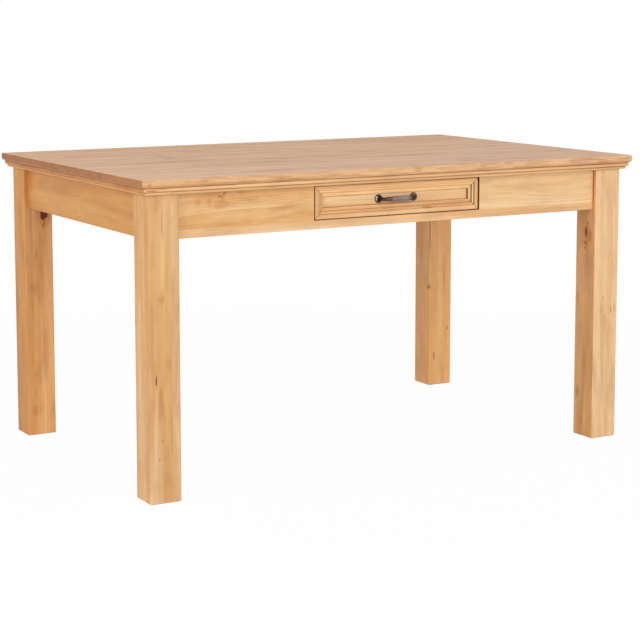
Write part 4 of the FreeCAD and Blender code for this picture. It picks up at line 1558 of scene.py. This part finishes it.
@dataclass
class BowPull:
    """The drawer's pull: a bow on two rosettes, with its screws.

    A post and a grip are half a section's height and half its depth. The foot is how much wider
    a post starts, and over what length that dies away. The corner is the power that the sine
    and cosine of an oval section are raised to: below 1, it is fuller than an ellipse. The
    rosette's outline, with its raised middle, its rolled rim and its underside, has shares of
    its radius and of its thickness.
    """

    spacing: float = 102 * MM
    projection: float = 24 * MM
    bend: float = 20 * MM
    post: Pair = (4.2 * MM, 3.7 * MM)
    grip: Pair = (6.8 * MM, 2.8 * MM)
    foot: Pair = (1.2 * MM, 1.6 * MM)
    corner: float = 0.9
    sections: int = 121
    columns: int = 36
    rosette: float = 10.5 * MM
    thickness: float = 3.0 * MM
    raised: tuple[Pair, ...] = ((0.02, 1.0), (0.5, 1.0), (0.62, 0.92), (0.7, 0.62))
    rolled: tuple[Pair, ...] = ((0.8, 0.55), (0.9, 0.72), (0.97, 0.5), (1.0, 0.2))
    underside: tuple[Pair, ...] = ((1.0, 0.0), (0.5, 0.0), (0.02, 0.0))
    rosette_steps: int = 6
    rosette_columns: int = 48
    face_y: float = -400.5 * MM
    inside_y: float = -390.5 * MM
    level: float = 671 * MM
    screw_in_post: float = 5 * MM
    screw: PanScrew = PanScrew(shank=2 * MM, head=4 * MM, height=2.4 * MM)
    screw_spins: Pair = (0.3, 1.1)
    # the grip's rub: rubbed metal and a painted highlight; the rosettes' rubs: painted highlights
    grip_rub_highlight: Triple = (33 * MM, 12 * MM, 16 * MM)
    grip_rubbed_highlight: Colour = (136, 120, 116)
    left_highlight: RosetteHighlight = RosetteHighlight(
        Rub((-5.8 * MM, 0.0, 0.5 * MM), (3.4 * MM, 40 * MM, 7.6 * MM)), (164, 156, 152)
    )
    right_highlight: RosetteHighlight = RosetteHighlight(
        Rub((4.5 * MM, 0.0, 4.5 * MM), (10.0 * MM, 40 * MM, 10.0 * MM)), (136, 110, 110)
    )

    def bow(self) -> Skin:
        """The bow, as oval sections along a path.

        The path leaves one rosette straight, turns a quarter circle, runs straight across, and is
        mirrored for the other half. A section's half height and half depth go from the post's to
        the grip's as a quarter sine wave of the way to the middle, and a falling exponential
        widens the foot.

        Returns:
            The bow's surface.
        """
        half, radius = self.spacing / 2, self.bend
        post = self.projection - self.thickness - radius
        arc = radius * math.pi / 2
        grip = 2 * (half - radius)
        total = 2 * (post + arc) + grip
        run = np.linspace(0.0, total, self.sections)
        near = np.minimum(run, total - run)
        side = np.where(run <= total / 2, 1.0, -1.0)
        turn = np.clip((near - post) / radius, 0.0, math.pi / 2)
        flat = np.maximum(near - post - arc, 0.0)
        x = side * (-half + radius * (1 - np.cos(turn)) + flat)
        y = self.face_y - self.thickness - np.minimum(near, post) - radius * np.sin(turn)
        normal = np.stack([-side * np.cos(turn), -np.sin(turn), 0 * turn], axis=-1)
        spread = np.clip((near - post - arc / 2) / (arc / 2 + grip / 2), 0.0, 1.0)
        blend = np.sin(spread * math.pi / 2)
        widening, dying = self.foot
        flare = widening * np.exp(-near / dying)
        high = self.post[0] + (self.grip[0] - self.post[0]) * blend + flare
        deep = self.post[1] + (self.grip[1] - self.post[1]) * blend + flare
        angle = round_angles(self.columns)
        cos, sin = np.cos(angle), np.sin(angle)
        up = np.sign(cos) * np.abs(cos) ** self.corner
        out = np.sign(sin) * np.abs(sin) ** self.corner
        centre = np.stack([x, y, np.full_like(x, self.level)], axis=-1)
        lift = (high[:, None] * up)[..., None] * np.array(UP)
        reach = (deep[:, None] * out)[..., None] * normal[:, None, :]
        return Skin.from_grid(centre[:, None, :] + lift + reach)

    def rosette_at(self, x: float) -> Skin:
        """A turned rosette with a rolled rim and a raised middle, facing the front.

        Args:
            x: where its middle is along the drawer.

        Returns:
            The rosette's surface.
        """
        face = curve_through(self.raised + self.rolled, self.rosette_steps)
        profile = np.vstack([face, self.underside]) * np.array([self.rosette, self.thickness])
        way = np.array([[0.0, -1.0, 0.0]])
        place = np.array([[x, self.face_y, self.level]])
        skin = Skin.from_grid(turned(profile, self.rosette_columns))
        return skin.placed(frames_along(place, way, np.zeros(1)))

    def screws(self) -> Skin:
        """The two machine screws, their heads inside the drawer.

        Returns:
            Both screws' surface.
        """
        length = self.inside_y - self.face_y + self.thickness + self.screw_in_post
        screw = replace(self.screw, length=length)
        places = np.array([(s * self.spacing / 2, self.inside_y, self.level) for s in (-1, 1)])
        ways = np.array([(0.0, 1.0, 0.0)] * 2)
        return screw.skin().placed(frames_along(places, ways, np.array(self.screw_spins)))

    def build(self, shop: Workshop) -> None:
        """Makes the pull's pieces and hangs them on the drawer.

        Args:
            shop: what dresses the pieces.
        """
        # the grip's rubbed metal and painted highlight, then the rosettes' painted highlights
        middle = Rub((0.0, self.face_y - self.projection, self.level), self.grip_rub_highlight)
        grip = replace(BRONZE, name="bronze_grip", rubs=(middle,), rubbed=self.grip_rubbed_highlight)
        shop.add("bow_pull", self.bow(), grip, "bronze", "drawer", ["drawer_pull"])
        for side, rub_and_highlight in (("left", self.left_highlight), ("right", self.right_highlight)):
            x = SIDES[side] * self.spacing / 2
            aside, _, above = rub_and_highlight.rub.centre
            rub = replace(rub_and_highlight.rub, centre=(x + aside, self.face_y, self.level + above))
            finish = replace(BRONZE, name="bronze_rosette_" + side, rubs=(rub,), rubbed=rub_and_highlight.rubbed)
            node = "pull_rosette_" + side
            shop.add("rosette_" + side, self.rosette_at(x), finish, "bronze", "drawer", [node])
        screws = self.screws()
        shop.add("pull_screw_pair", screws, ZINC_SCREW, "zinc_screw", "drawer", ["pull_screws"])


# ---- the table's woodwork ----
PLANED = Pine(
    "pine_planed",
    Grain.CROSSWISE,
    (0.0, 0.0, 0.6),
    light=(240, 208, 160),
    warm=(228, 188, 136),
    lacquer=0.0,
)


@dataclass
class TableTop:
    """The glued boards and the mitred strips with the two beads.

    A board's tint is its base, plus its own random shade and its nearness to the front, each by
    its own gain. The colour of its end grain rises with the cube of that nearness.
    """

    plan: Plan = Plan()
    boards: int = 8
    lower_bead: float = 7 * MM
    # What the random draws lie between
    seed: int = 21
    heart_along: Pair = (-4.0, 4.0)
    heart_aside: Pair = (-0.03, 0.03)
    heart_above: Pair = (0.02, 0.08)
    ring: Pair = (0.005, 0.009)
    lean: Pair = (-0.02, 0.02)
    # The tint and the end grain
    tint_base: Triple = (1.02, 0.93, 0.91)
    tint_shade: Triple = (0.04, 0.05, 0.07)
    tint_near: Triple = (0.04, 0.115, 0.35)
    end_base: Colour = (150, 85, 18)
    end_near: Colour = (14, 16, 14)
    seed_step: float = 3.1

    def marks(self) -> dict[int, tuple[Knot, ...]]:
        """The knots of some boards, on the top, the front edge and the left end.

        Returns:
            Board number, counted from the front, to its knots.
        """
        p = self.plan
        top, low = p.height, p.strip_levels[1] + 6 * MM
        front, left = -p.width / 2, -p.length / 2
        smear = Knot((-0.3870, 0.1000, top), (0.0120, 0.055, 0.020), 0.22)
        return {
            0: (
                Knot((-0.6810, front, 0.7385), (0.0036, 0.004, 0.0028), 0.35),
                Knot((-0.3480, front, 0.7395), (0.0070, 0.006, 0.0045), 0.16),
                Knot((0.0330, front, 0.7420), (0.0100, 0.006, 0.0050), 0.14),
            ),
            3: (
                Knot((left, -0.106, low), (0.010, 0.007, 0.0025), 0.6),
                Knot((-0.5100, -0.0500, top), (0.0850, 0.009, 0.020), 0.22),
                Knot((-0.3800, -0.0230, top), (0.0850, 0.009, 0.020), 0.25),
                Knot((-0.1500, -0.0640, top), (0.0220, 0.009, 0.020), 0.18),
            ),
            4: (Knot((left, 0.024, low), (0.010, 0.008, 0.0035), 0.7), smear),
            5: (smear, Knot((-0.0860, 0.1600, top), (0.0140, 0.011, 0.020), 0.16)),
            6: (Knot((-0.1120, 0.3160, top), (0.0450, 0.034, 0.020), 0.09),),
            7: (Knot((0.3070, 0.3850, top), (0.0300, 0.024, 0.020), 0.09),),
        }

    def board(self, index: int) -> Pine:
        """One board's pine: its own trunk, ring width and tone.

        Args:
            index: the board's number, counted from the front.

        Returns:
            Its finish.
        """
        rng = np.random.default_rng(self.seed + index)
        middle = (index + 0.5 - self.boards / 2) * self.plan.width / self.boards
        along = rng.uniform(*self.heart_along)
        aside = rng.uniform(*self.heart_aside)
        above = rng.uniform(*self.heart_above)
        shade = rng.uniform(-1.0, 1.0)
        near = 1.0 - index / (self.boards - 1)
        gains = zip(self.tint_base, self.tint_shade, self.tint_near)
        ends = zip(self.end_base, self.end_near)
        return Pine(
            f"pine_board_{index + 1}",
            Grain.LENGTHWISE,
            (along, middle + aside, self.plan.height + above),
            tint=tuple(base + own * shade + front * near for base, own, front in gains),
            # the side tones paint shade on the front and back edges, darker towards the left end
            side=(0.862, 0.835, 0.645),
            side_shade_right=(0.945, 0.987, 0.905),
            side_way=(0.0, 1.0, 0.0),
            flame=0.55,
            dark=(202, 141, 92),
            end=tuple(round(base + front * near**3) for base, front in ends),
            ring=rng.uniform(*self.ring),
            lean=(rng.uniform(*self.lean), rng.uniform(*self.lean)),
            contrast=0.26,
            cloud=0.75,
            band=0.3,
            seed=self.seed_step * index,
            gloss=0.46,
            shine=0.5,
            lacquer=0.0,
            knots=self.marks().get(index, ()),
            # stain and painted shade in the crease where the rim meets the strips
            grooves=(Groove(Measure.HEIGHT, self.plan.strip_levels[1], 3.0 * MM, 0.9),),
        )

    def strips(self) -> dict[str, Pine]:
        """The mouldings under the rim, darker at the ends of the table.

        Returns:
            Side of the table to its finish.
        """
        low, high = self.plan.strip_levels
        front = Pine(
            "pine_strip_front",
            Grain.LENGTHWISE,
            (0.4, -0.38, 0.66),
            seed=2.0,
            knots=(Knot((-0.6730, -0.4440, 0.7250), (0.014, 0.006, 0.0014), 0.6),),
            # the quirks of the beads: stain and painted shade
            grooves=(
                Groove(Measure.HEIGHT, high, 2.2 * MM, 0.9),
                Groove(Measure.HEIGHT, low + self.lower_bead, 2.2 * MM, 0.9),
                Groove(Measure.HEIGHT, low, 1.6 * MM, 0.7),
            ),
        )
        left = replace(
            front,
            name="pine_strip_left",
            grain=Grain.CROSSWISE,
            heart=(-0.62, 0.9, 0.67),
            tint=(0.85, 0.66, 0.37),
            knots=(),
            grooves=(
                # a broad line of painted shade over the upper bead, under the rim
                Groove(Measure.HEIGHT, high - 3.5 * MM, 8.0 * MM, 0.75),
                Groove(Measure.HEIGHT, low, 2.0 * MM, 0.8),
            ),
        )
        return {
            "front": front,
            "back": replace(front, name="pine_strip_back", heart=(1.7, 0.47, 0.68), knots=()),
            "left": left,
            "right": replace(left, name="pine_strip_right", heart=(0.72, 2.1, 0.67)),
        }

    def build(self, shop: Workshop) -> None:
        """Dresses the boards and the strips.

        Args:
            shop: what dresses the pieces.
        """
        for index in range(self.boards):
            shop.dress(f"top_board_{index + 1}", self.board(index))
        for side, strip in self.strips().items():
            shop.dress("edge_strip_" + side, strip)


@dataclass(frozen=True)
class LegWood:
    """What one leg is glued from.

    Its trunk's heart and seed, its tint, its side tone, which paints shade on the faces that look
    along the table, where its glue lines lie along the table, how much the tone steps there, its
    knots and the warm colour of its rings.
    """

    heart: Triple
    seed: float
    tint: Triple
    side: Triple
    edges: Pair
    tone: float
    knots: tuple[Knot, ...]
    warm: Colour = Pine.warm


@dataclass
class Underframe:
    """The legs, the aprons, and the rails and guides behind them.

    The trunks of the guides lie to either side of the table's middle, a step further on for each
    piece: along the table by its place in its set, and across and up by its number.
    """

    plan: Plan = Plan()
    even_warm: Colour = (233, 188, 134)
    guide_aside: float = 0.22
    guide_height: float = 0.6
    guide_steps: Triple = (0.03, 0.37, 0.013)
    guide_seed: float = 30.0

    def front_leg_knots(self) -> tuple[tuple[Knot, ...], tuple[Knot, ...]]:
        """The knots of the front legs, on their faces and on the right one's inner side, and a painted
        shadow where the right leg meets the apron.

        Returns:
            Those of the left leg and those of the right.
        """
        x, front = self.plan.leg_insides[0], -self.plan.leg_faces[1]
        left = (
            Knot((-0.6610, front, 0.2860), (0.0016, 0.004, 0.009), 0.9),
            Knot((-0.6600, front, 0.2960), (0.0014, 0.004, 0.004), 0.7),
            Knot((-0.6460, front, 0.1470), (0.0016, 0.004, 0.005), 0.45),
            Knot((-0.6540, front, 0.1030), (0.0016, 0.004, 0.004), 0.45),
            Knot((-0.6450, front, 0.4750), (0.0080, 0.004, 0.007), 0.10),
            Knot((-0.6430, front, 0.6500), (0.0016, 0.004, 0.028), 0.25),
        )
        right = (
            Knot((x, -0.3990, 0.5420), (0.012, 0.0120, 0.026), 0.10),
            Knot((x, -0.3908, 0.5470), (0.012, 0.0074, 0.0135), 0.60),
            Knot((x, -0.3905, 0.5480), (0.012, 0.0040, 0.0090), 0.84),
            Knot((x, -0.3975, 0.5710), (0.012, 0.0058, 0.0046), 0.46),
            Knot((x, -0.4060, 0.5400), (0.012, 0.0060, 0.0150), 0.38),
            Knot((x, -0.3895, 0.5180), (0.012, 0.0068, 0.0052), 0.52),
            Knot((x, -0.3860, 0.5050), (0.012, 0.0042, 0.0032), 0.42),
            Knot((x, -0.3600, 0.3720), (0.006, 0.0040, 0.014), 0.12),
            Knot((x, -0.3660, 0.1160), (0.006, 0.0050, 0.014), 0.25),
            # not a knot: painted shadow in the recess between the apron and the leg
            Knot((x, -0.4160, 0.6650), (0.006, 0.0032, 0.055), 0.62),
            Knot((0.6255, front, 0.3390), (0.0016, 0.003, 0.007), 0.4),
            Knot((0.6565, front, 0.3420), (0.0016, 0.003, 0.008), 0.42),
            Knot((0.6680, front, 0.3450), (0.0014, 0.003, 0.007), 0.38),
            Knot((0.6300, front, 0.3750), (0.0014, 0.003, 0.005), 0.4),
        )
        return left, right

    def back_leg_knots(self) -> tuple[tuple[Knot, ...], tuple[Knot, ...]]:
        """The knots of the back legs, on the faces that look forwards and inwards, and a painted shadow
        in the left leg's recess beside the apron.

        Returns:
            Those of the left leg and those of the right.
        """
        x, back = self.plan.leg_insides
        left = (
            Knot((-0.6235, back, 0.5900), (0.0100, 0.012, 0.0140), 1.0),
            Knot((-0.6225, back, 0.5720), (0.0030, 0.006, 0.010), 0.6),
            Knot((-0.6237, back, 0.5625), (0.0040, 0.006, 0.007), 0.5),
            Knot((-0.6460, back, 0.4870), (0.0050, 0.005, 0.014), 0.14),
            Knot((-0.6560, back, 0.3950), (0.0060, 0.005, 0.012), 0.14),
            Knot((-0.6560, back, 0.0660), (0.0060, 0.005, 0.014), 0.14),
            # not a knot: painted shadow in the recess beside the left apron
            Knot((-0.6700, back, 0.6650), (0.0070, 0.005, 0.060), 0.22),
        )
        right = (
            Knot((x, 0.3540, 0.3000), (0.006, 0.006, 0.006), 0.5),
            Knot((0.6010, back, 0.4600), (0.0012, 0.004, 0.045), 0.5),
            Knot((0.6174, back, 0.0900), (0.0030, 0.004, 0.010), 0.45),
            Knot((0.6640, back, 0.1700), (0.0030, 0.004, 0.006), 0.4),
        )
        return left, right

    def leg_woods(self) -> dict[str, LegWood]:
        """What each of the four legs is glued from.

        Returns:
            Place of the leg to its wood.
        """
        front_left, front_right = self.front_leg_knots()
        back_left, back_right = self.back_leg_knots()
        return {
            "front_left": LegWood(
                heart=(-0.650, -0.330, 0.3),
                seed=1.0,
                tint=(0.92, 0.90, 0.88),
                side=(0.94, 0.87, 0.765),
                edges=(-0.6205, -0.55),
                tone=-0.06,
                knots=front_left,
            ),
            "back_left": LegWood(
                heart=(-0.610, 0.440, 1.3),
                seed=4.0,
                tint=(0.95, 0.795, 0.64),
                side=(0.79, 0.672, 0.36),
                edges=(-0.6560, -0.6150),
                tone=0.03,
                knots=back_left,
            ),
            "front_right": LegWood(
                heart=(0.700, -0.340, 2.3),
                seed=7.0,
                tint=(1.00, 1.02, 1.08),
                side=(0.853, 0.71, 0.54),
                edges=(0.6500, 0.70),
                tone=0.02,
                knots=front_right,
                warm=self.even_warm,
            ),
            "back_right": LegWood(
                heart=(0.580, 0.450, 3.3),
                seed=9.0,
                # a tint above 1: painted light that lifts the shade the table casts on this leg
                tint=(1.24, 1.06, 0.905),
                side=(0.94, 0.91, 0.87),
                edges=(0.6300, 0.6560),
                tone=0.03,
                knots=back_right,
                warm=self.even_warm,
            ),
        }

    def legs(self) -> dict[str, Pine]:
        """The four legs, each glued from staves, with the knots of its own wood.

        Returns:
            Node to its finish.
        """
        return {
            f"leg_{place}": Pine(
                f"pine_leg_{place}",
                Grain.UPRIGHT,
                wood.heart,
                tint=wood.tint,
                # the side tone paints shade on the faces that look along the table
                side=wood.side,
                warm=wood.warm,
                ring=0.011,
                contrast=0.24,
                cloud=0.5,
                seed=wood.seed,
                knots=wood.knots,
                staves=Staves((1.0, 0.0, 0.0), wood.edges, wood.tone),
            )
            for place, wood in self.leg_woods().items()
        }

    def branch(self) -> tuple[Knot, ...]:
        """The torn knot and the small ones on the left front apron, and a painted shadow under the
        strip.

        Returns:
            The knots.
        """
        face = self.plan.apron_recess - self.plan.leg_faces[1]
        return (
            Knot((-0.4751, face, 0.7093), (0.0034, 0.006, 0.0024), 0.45),
            Knot((-0.4790, face, 0.7044), (0.0032, 0.006, 0.0030), 0.5),
            Knot((-0.4829, face, 0.6980), (0.0023, 0.006, 0.0038), 0.5),
            Knot((-0.4900, face, 0.7005), (0.0056, 0.006, 0.0022), 0.6),
            Knot((-0.4864, face, 0.6815), (0.0200, 0.008, 0.0100), 0.13),
            Knot((-0.5452, face, 0.6897), (0.0070, 0.006, 0.0055), 0.13),
            Knot((-0.5172, face, 0.6871), (0.0050, 0.006, 0.0090), 0.12),
            # not a knot: painted shadow under the strip of the rim
            Knot((-0.4343, face, 0.7082), (0.0130, 0.006, 0.0026), 0.16),
        )

    def aprons(self) -> dict[str, Pine]:
        """The apron boards and the rail under the drawer.

        Returns:
            Node to its finish.
        """
        front = Pine(
            "pine_apron", Grain.LENGTHWISE, (0.0, -0.36, 0.64), seed=12.0, ring=0.005, end=(150, 86, 42)
        )
        side = replace(
            front, grain=Grain.CROSSWISE, tint=(0.75, 0.55, 0.29), contrast=0.08, cloud=0.3, band=0.08
        )
        bright = replace(front, contrast=0.35)
        parts = {
            "front_apron_left": replace(
                front,
                knots=self.branch(),
                contrast=0.32,
                cloud=0.6,
                flame=0.16,
                side_way=(0.0, 1.0, 0.0),
                tint=(0.965, 0.93, 0.84),
            ),
            "front_apron_right": replace(bright, heart=(0.9, -0.35, 0.69), tint=(1.03, 1.09, 1.16)),
            "front_rail": replace(bright, heart=(1.8, -0.37, 0.56), tint=(1.0, 1.01, 1.09)),
            "back_apron": replace(front, heart=(2.7, 0.35, 0.66), seed=15.0),
            "left_apron": replace(side, heart=(-0.60, 3.6, 0.65), seed=17.0),
            "right_apron": replace(side, heart=(0.60, 4.5, 0.67), seed=19.0),
        }
        return {node: replace(finish, name="pine_" + node) for node, finish in parts.items()}

    def guides(self) -> dict[str, Pine]:
        """The plain planed wood behind the aprons, each piece from its own trunk.

        Returns:
            Node to its finish.
        """
        names = ("cross_rail", "cross_packer", "drawer_runner", "drawer_kicker", "drawer_stop")
        pieces = [
            (f"{part}_{side}", sign, step)
            for side, sign in SIDES.items()
            for step, part in enumerate(names)
        ]
        found = {}
        on, over, up = self.guide_steps
        for key, (node, sign, step) in enumerate(pieces):
            heart = (sign * self.guide_aside + on * step, over * key, self.guide_height + up * key)
            seed = self.guide_seed + key
            found[node] = replace(PLANED, name="pine_" + node, heart=heart, seed=seed)
        return found

    def build(self, shop: Workshop) -> None:
        """Dresses every board of the underframe, and all dowels and screws of the frame.

        Args:
            shop: what dresses the pieces.
        """
        for node, finish in (self.legs() | self.aprons() | self.guides()).items():
            shop.dress(node, finish)
        dowel = Pine("dowel_wood", Grain.LENGTHWISE, (0.0, -0.2, 0.5), ring=0.002, lacquer=0.0)
        for node in ("apron_dowels", "cross_rail_dowels", "drawer_dowels"):
            shop.dress(node, dowel)
        shop.dress("guide_screws", ZINC_SCREW)


@dataclass
class Drawer:
    """The drawer: its moulded front and its box.

    Four lines round the front, each at its own inset, and the mitres are darker. The gap round the
    front and the panel's edge get painted shade, the two quirks get stain and painted shade, and
    the mitres are dark joints.
    """

    # painted shade in the gap round the front
    edge: Groove = Groove(Measure.INSET, 0.0, 1.8 * MM, 0.55)
    outer_quirk: Groove = Groove(Measure.INSET, 11.0 * MM, 1.6 * MM, 0.45)
    inner_quirk: Groove = Groove(Measure.INSET, 17.5 * MM, 1.7 * MM, 0.5)
    # painted shade along the panel's edge
    panel_line: Groove = Groove(Measure.INSET, 27.2 * MM, 1.8 * MM, 0.8)
    mitre: Groove = Groove(Measure.MITRE, 0.0, 1.7 * MM, 0.85)
    # a broad line of painted shade on the right stile's slope
    slope: Groove = Groove(Measure.INSET, 22.0 * MM, 5.0 * MM, 0.2)
    # the seam lines: painted shadow in the gap over the front and beside it
    seam_shade_reach: Pair = (4.0 * MM, 2.6 * MM)
    seam_shade_depth: float = 0.95
    seed: int = 60

    def panel(self) -> Pine:
        """The flat board in the middle of the front.

        Returns:
            Its finish.
        """
        return Pine(
            "pine_drawer_panel",
            Grain.LENGTHWISE,
            (0.2, -0.36, 0.70),
            seed=40.0,
            contrast=0.3,
            grooves=(self.panel_line,),
            tint=(1.02, 1.11, 1.22),
        )

    def rails(self) -> dict[str, Pine]:
        """The mouldings above and below the panel.

        Their two quirks hold half as much stain and painted shade, and the painted shadow in the seam
        over the upper one is the darkest.

        Returns:
            Side of the front to its finish.
        """
        seam = replace(self.edge, reach=self.seam_shade_reach[0], depth=self.seam_shade_depth)
        quirks = tuple(replace(q, depth=q.depth / 2) for q in (self.outer_quirk, self.inner_quirk))
        rail = replace(self.panel(), contrast=0.8, ring=0.004)
        upper = replace(
            rail,
            name="pine_moulding_top",
            heart=(1.1, -0.39, 0.64),
            grooves=(seam, *quirks, self.panel_line, self.mitre),
            # a tint above 1: painted light that offsets the shadow of the rim's overhang
            tint=(1.16, 1.22, 1.30),
        )
        lower = replace(
            rail,
            name="pine_moulding_bottom",
            heart=(2.1, -0.38, 0.60),
            knots=(Knot((0.0845, -0.412, 0.6446), (0.016, 0.004, 0.004), 0.3),),
            grooves=(self.edge, *quirks, self.panel_line, self.mitre),
            tint=(0.97, 0.92, 0.90),
        )
        return {"top": upper, "bottom": lower}

    def stile_grooves(self, strength: float) -> tuple[Groove, ...]:
        """The stain and painted shade on an upright moulding: all lines by one strength, then the
        painted shadow of the outer seam.

        Args:
            strength: what each line's depth is multiplied by, up to the seam's depth.

        Returns:
            The grooves.
        """
        lines = (self.outer_quirk, self.inner_quirk, self.panel_line, self.mitre)
        depths = [min(line.depth * strength, self.seam_shade_depth) for line in lines]
        deeper = [replace(line, depth=depth) for line, depth in zip(lines, depths)]
        seam = replace(self.edge, reach=self.seam_shade_reach[1], depth=self.seam_shade_depth)
        return (*deeper, seam)

    def stiles(self) -> dict[str, Pine]:
        """The mouldings at the two ends of the panel, with painted shade where their slopes and side
        walls catch less light.

        Returns:
            Side of the front to its finish.
        """
        stile = replace(self.panel(), grain=Grain.UPRIGHT)
        left = replace(
            stile,
            name="pine_moulding_left",
            heart=(-0.19, -0.37, 3.0),
            grooves=self.stile_grooves(0.9),
            tint=(0.90, 0.83, 0.77),
            side=(0.86, 0.60, 0.36),
        )
        right = replace(
            stile,
            name="pine_moulding_right",
            heart=(0.19, -0.37, 3.0),
            # stronger lines and the slope line: painted shade on the right stile's inner walls
            grooves=(*self.stile_grooves(1.25), self.slope),
            side=(0.56, 0.41, 0.28),
        )
        return {"left": left, "right": right}

    def box(self) -> dict[str, Pine]:
        """The sides and the back of the box.

        Returns:
            Node to its finish.
        """
        found = {}
        for side, sign in SIDES.items():
            heart = (sign * 0.2, 0.5, 0.6)
            board = replace(PLANED, name="pine_box_" + side, heart=heart, seed=self.seed + sign)
            found["drawer_side_" + side] = board
        found["drawer_back"] = replace(
            PLANED, name="pine_box_back", grain=Grain.LENGTHWISE, heart=(1.5, 0.02, 0.6)
        )
        return found

    def build(self, shop: Workshop) -> None:
        """Dresses the front board, its mouldings and the box.

        Args:
            shop: what dresses the pieces.
        """
        shop.dress("drawer_front_board", self.panel())
        for side, moulding in (self.rails() | self.stiles()).items():
            shop.dress("drawer_moulding_" + side, moulding)
        for node, finish in self.box().items():
            shop.dress(node, finish)
        shop.dress("drawer_bottom", Sheet("fibre_sheet"))


# ---- studio ----
@dataclass(frozen=True)
class Lamp:
    """A square lamp: its name, its place, its side in metres and its power in watts."""

    name: str
    place: Triple
    side: float
    power: float

    def hang(self, target: Triple) -> None:
        """Hangs the lamp.

        Args:
            target: the point that it looks at.
        """
        data = bpy.data.lights.new(self.name, "AREA")
        data.shape = "SQUARE"
        data.size = self.side
        data.energy = self.power
        lamp = bpy.data.objects.new(self.name, data)
        lamp.location = self.place
        way = Vector(target) - Vector(self.place)
        lamp.rotation_euler = way.to_track_quat("-Z", "Y").to_euler()
        bpy.context.scene.collection.objects.link(lamp)


@dataclass
class Studio:
    """A pale floor and soft lamps in a white surround.

    The floor is white to the eye by a share that rises to 1 between the near and the far glow,
    and what is left of its own shading holds the table's shadow.
    """

    floor_size: float = 60.0
    floor_level: float = -0.2 * MM
    floor_grey: float = 0.9
    floor_roughness: float = 0.9
    floor_glow: float = 0.975
    glow_near: float = 1.2
    glow_far: float = 3.6
    ambient: float = 0.36
    aim: Triple = (0.0, 0.0, 0.45)
    lamps: tuple[Lamp, ...] = (
        Lamp("key", (0.4, -6.2, 2.5), 3.5, 180.0),
        Lamp("side", (-6.0, -1.8, 2.6), 4.6, 228.0),
    )

    def floor_material(self) -> bpy.types.Material:
        """The floor's material: white to the eye, with a light shadow, and clear from below.

        Returns:
            The material.
        """
        material, g, shader = blank_material("pale_floor")
        grey = self.floor_grey
        shader.inputs["Base Color"].default_value = (grey, grey, grey, 1.0)
        shader.inputs["Roughness"].default_value = self.floor_roughness
        shader.inputs["Specular IOR Level"].default_value = 0.0
        glow = g.add("Emission", {"Color": WHITE, "Strength": 1.0})
        away = g.vector("LENGTH", g.add("TexCoord").outputs["Object"])
        share = g.span(away, self.glow_near, self.glow_far, self.floor_glow, 1.0)
        path = g.add("LightPath").outputs
        mirrored = g.math("MAXIMUM", path["Is Glossy Ray"], path["Is Transmission Ray"])
        seen = g.math("MAXIMUM", path["Is Camera Ray"], mirrored)
        pale = g.add(
            "MixShader", {0: g.math("MULTIPLY", seen, share), 1: shader.outputs[0], 2: glow.outputs[0]}
        )
        below = g.add("NewGeometry").outputs["Backfacing"]
        clear = g.add("BsdfTransparent").outputs[0]
        sides = g.add("MixShader", {0: below, 1: pale.outputs[0], 2: clear})
        end = material.node_tree.nodes["Material Output"]
        g.feed(end.inputs["Surface"], sides.outputs[0])
        return material

    def floor(self) -> None:
        """Lays the floor, just under the table's feet."""
        mesh = bpy.data.meshes.new("floor")
        half = self.floor_size / 2
        signs = ((-1, -1), (1, -1), (1, 1), (-1, 1))
        corners = [(sx * half, sy * half, self.floor_level) for sx, sy in signs]
        mesh.from_pydata(corners, [], [(0, 1, 2, 3)])
        piece = bpy.data.objects.new("floor", mesh)
        bpy.context.scene.collection.objects.link(piece)
        mesh.materials.append(self.floor_material())

    def surround(self) -> None:
        """Sets the world: white where it is seen or mirrored, and a plain soft light elsewhere."""
        world = bpy.data.worlds.new("surround")
        world.use_nodes = True
        g = Graph(world.node_tree)
        plain = world.node_tree.nodes["Background"]
        plain.inputs["Color"].default_value = WHITE
        plain.inputs["Strength"].default_value = self.ambient
        white = g.add("Background", {"Color": WHITE, "Strength": 1.0})
        path = g.add("LightPath").outputs
        seen = g.math("MAXIMUM", path["Is Camera Ray"], path["Is Glossy Ray"])
        seen = g.math("MAXIMUM", seen, path["Is Transmission Ray"])
        mix = g.add("MixShader", {0: seen, 1: plain.outputs[0], 2: white.outputs[0]})
        g.feed(world.node_tree.nodes["World Output"].inputs["Surface"], mix.outputs[0])
        bpy.context.scene.world = world

    def build(self) -> None:
        """Lays the floor, sets the surround and hangs the lamps."""
        self.floor()
        self.surround()
        for lamp in self.lamps:
            lamp.hang(self.aim)


@dataclass
class Eye:
    """The camera: its yaw turns it to the right and its pitch down, and its lens is in mm."""

    place: Triple = (-2.3282, -4.0493, 1.1284)
    yaw: float = math.radians(30.101)
    pitch: float = math.radians(6.892)
    lens: float = 99.93
    sensor: float = 36.0
    shift: Pair = (-0.001, -0.15)
    farthest: float = 200.0

    def build(self) -> None:
        """Makes the scene's camera."""
        data = bpy.data.cameras.new("eye")
        data.lens = self.lens
        data.sensor_width = self.sensor
        data.shift_x, data.shift_y = self.shift
        data.clip_end = self.farthest
        eye = bpy.data.objects.new("eye", data)
        eye.location = self.place
        eye.rotation_euler = Euler((math.pi / 2 - self.pitch, 0.0, -self.yaw))
        bpy.context.scene.collection.objects.link(eye)
        bpy.context.scene.camera = eye


def main() -> None:
    """Builds the scene, in order."""
    logging.basicConfig(level=logging.INFO, format="%(name)s: %(message)s")
    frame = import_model()
    scene = bpy.context.scene
    scene.view_settings.view_transform = "Standard"
    shop = Workshop(frame)
    Eye().build()
    Studio().build()
    for assembly in (TableTop(), Underframe(), Drawer(), CornerIrons(), TopAngles(), BowPull()):
        assembly.build(shop)
        LOG.info("%s is built", type(assembly).__name__)


if __name__ == "__main__":
    main()
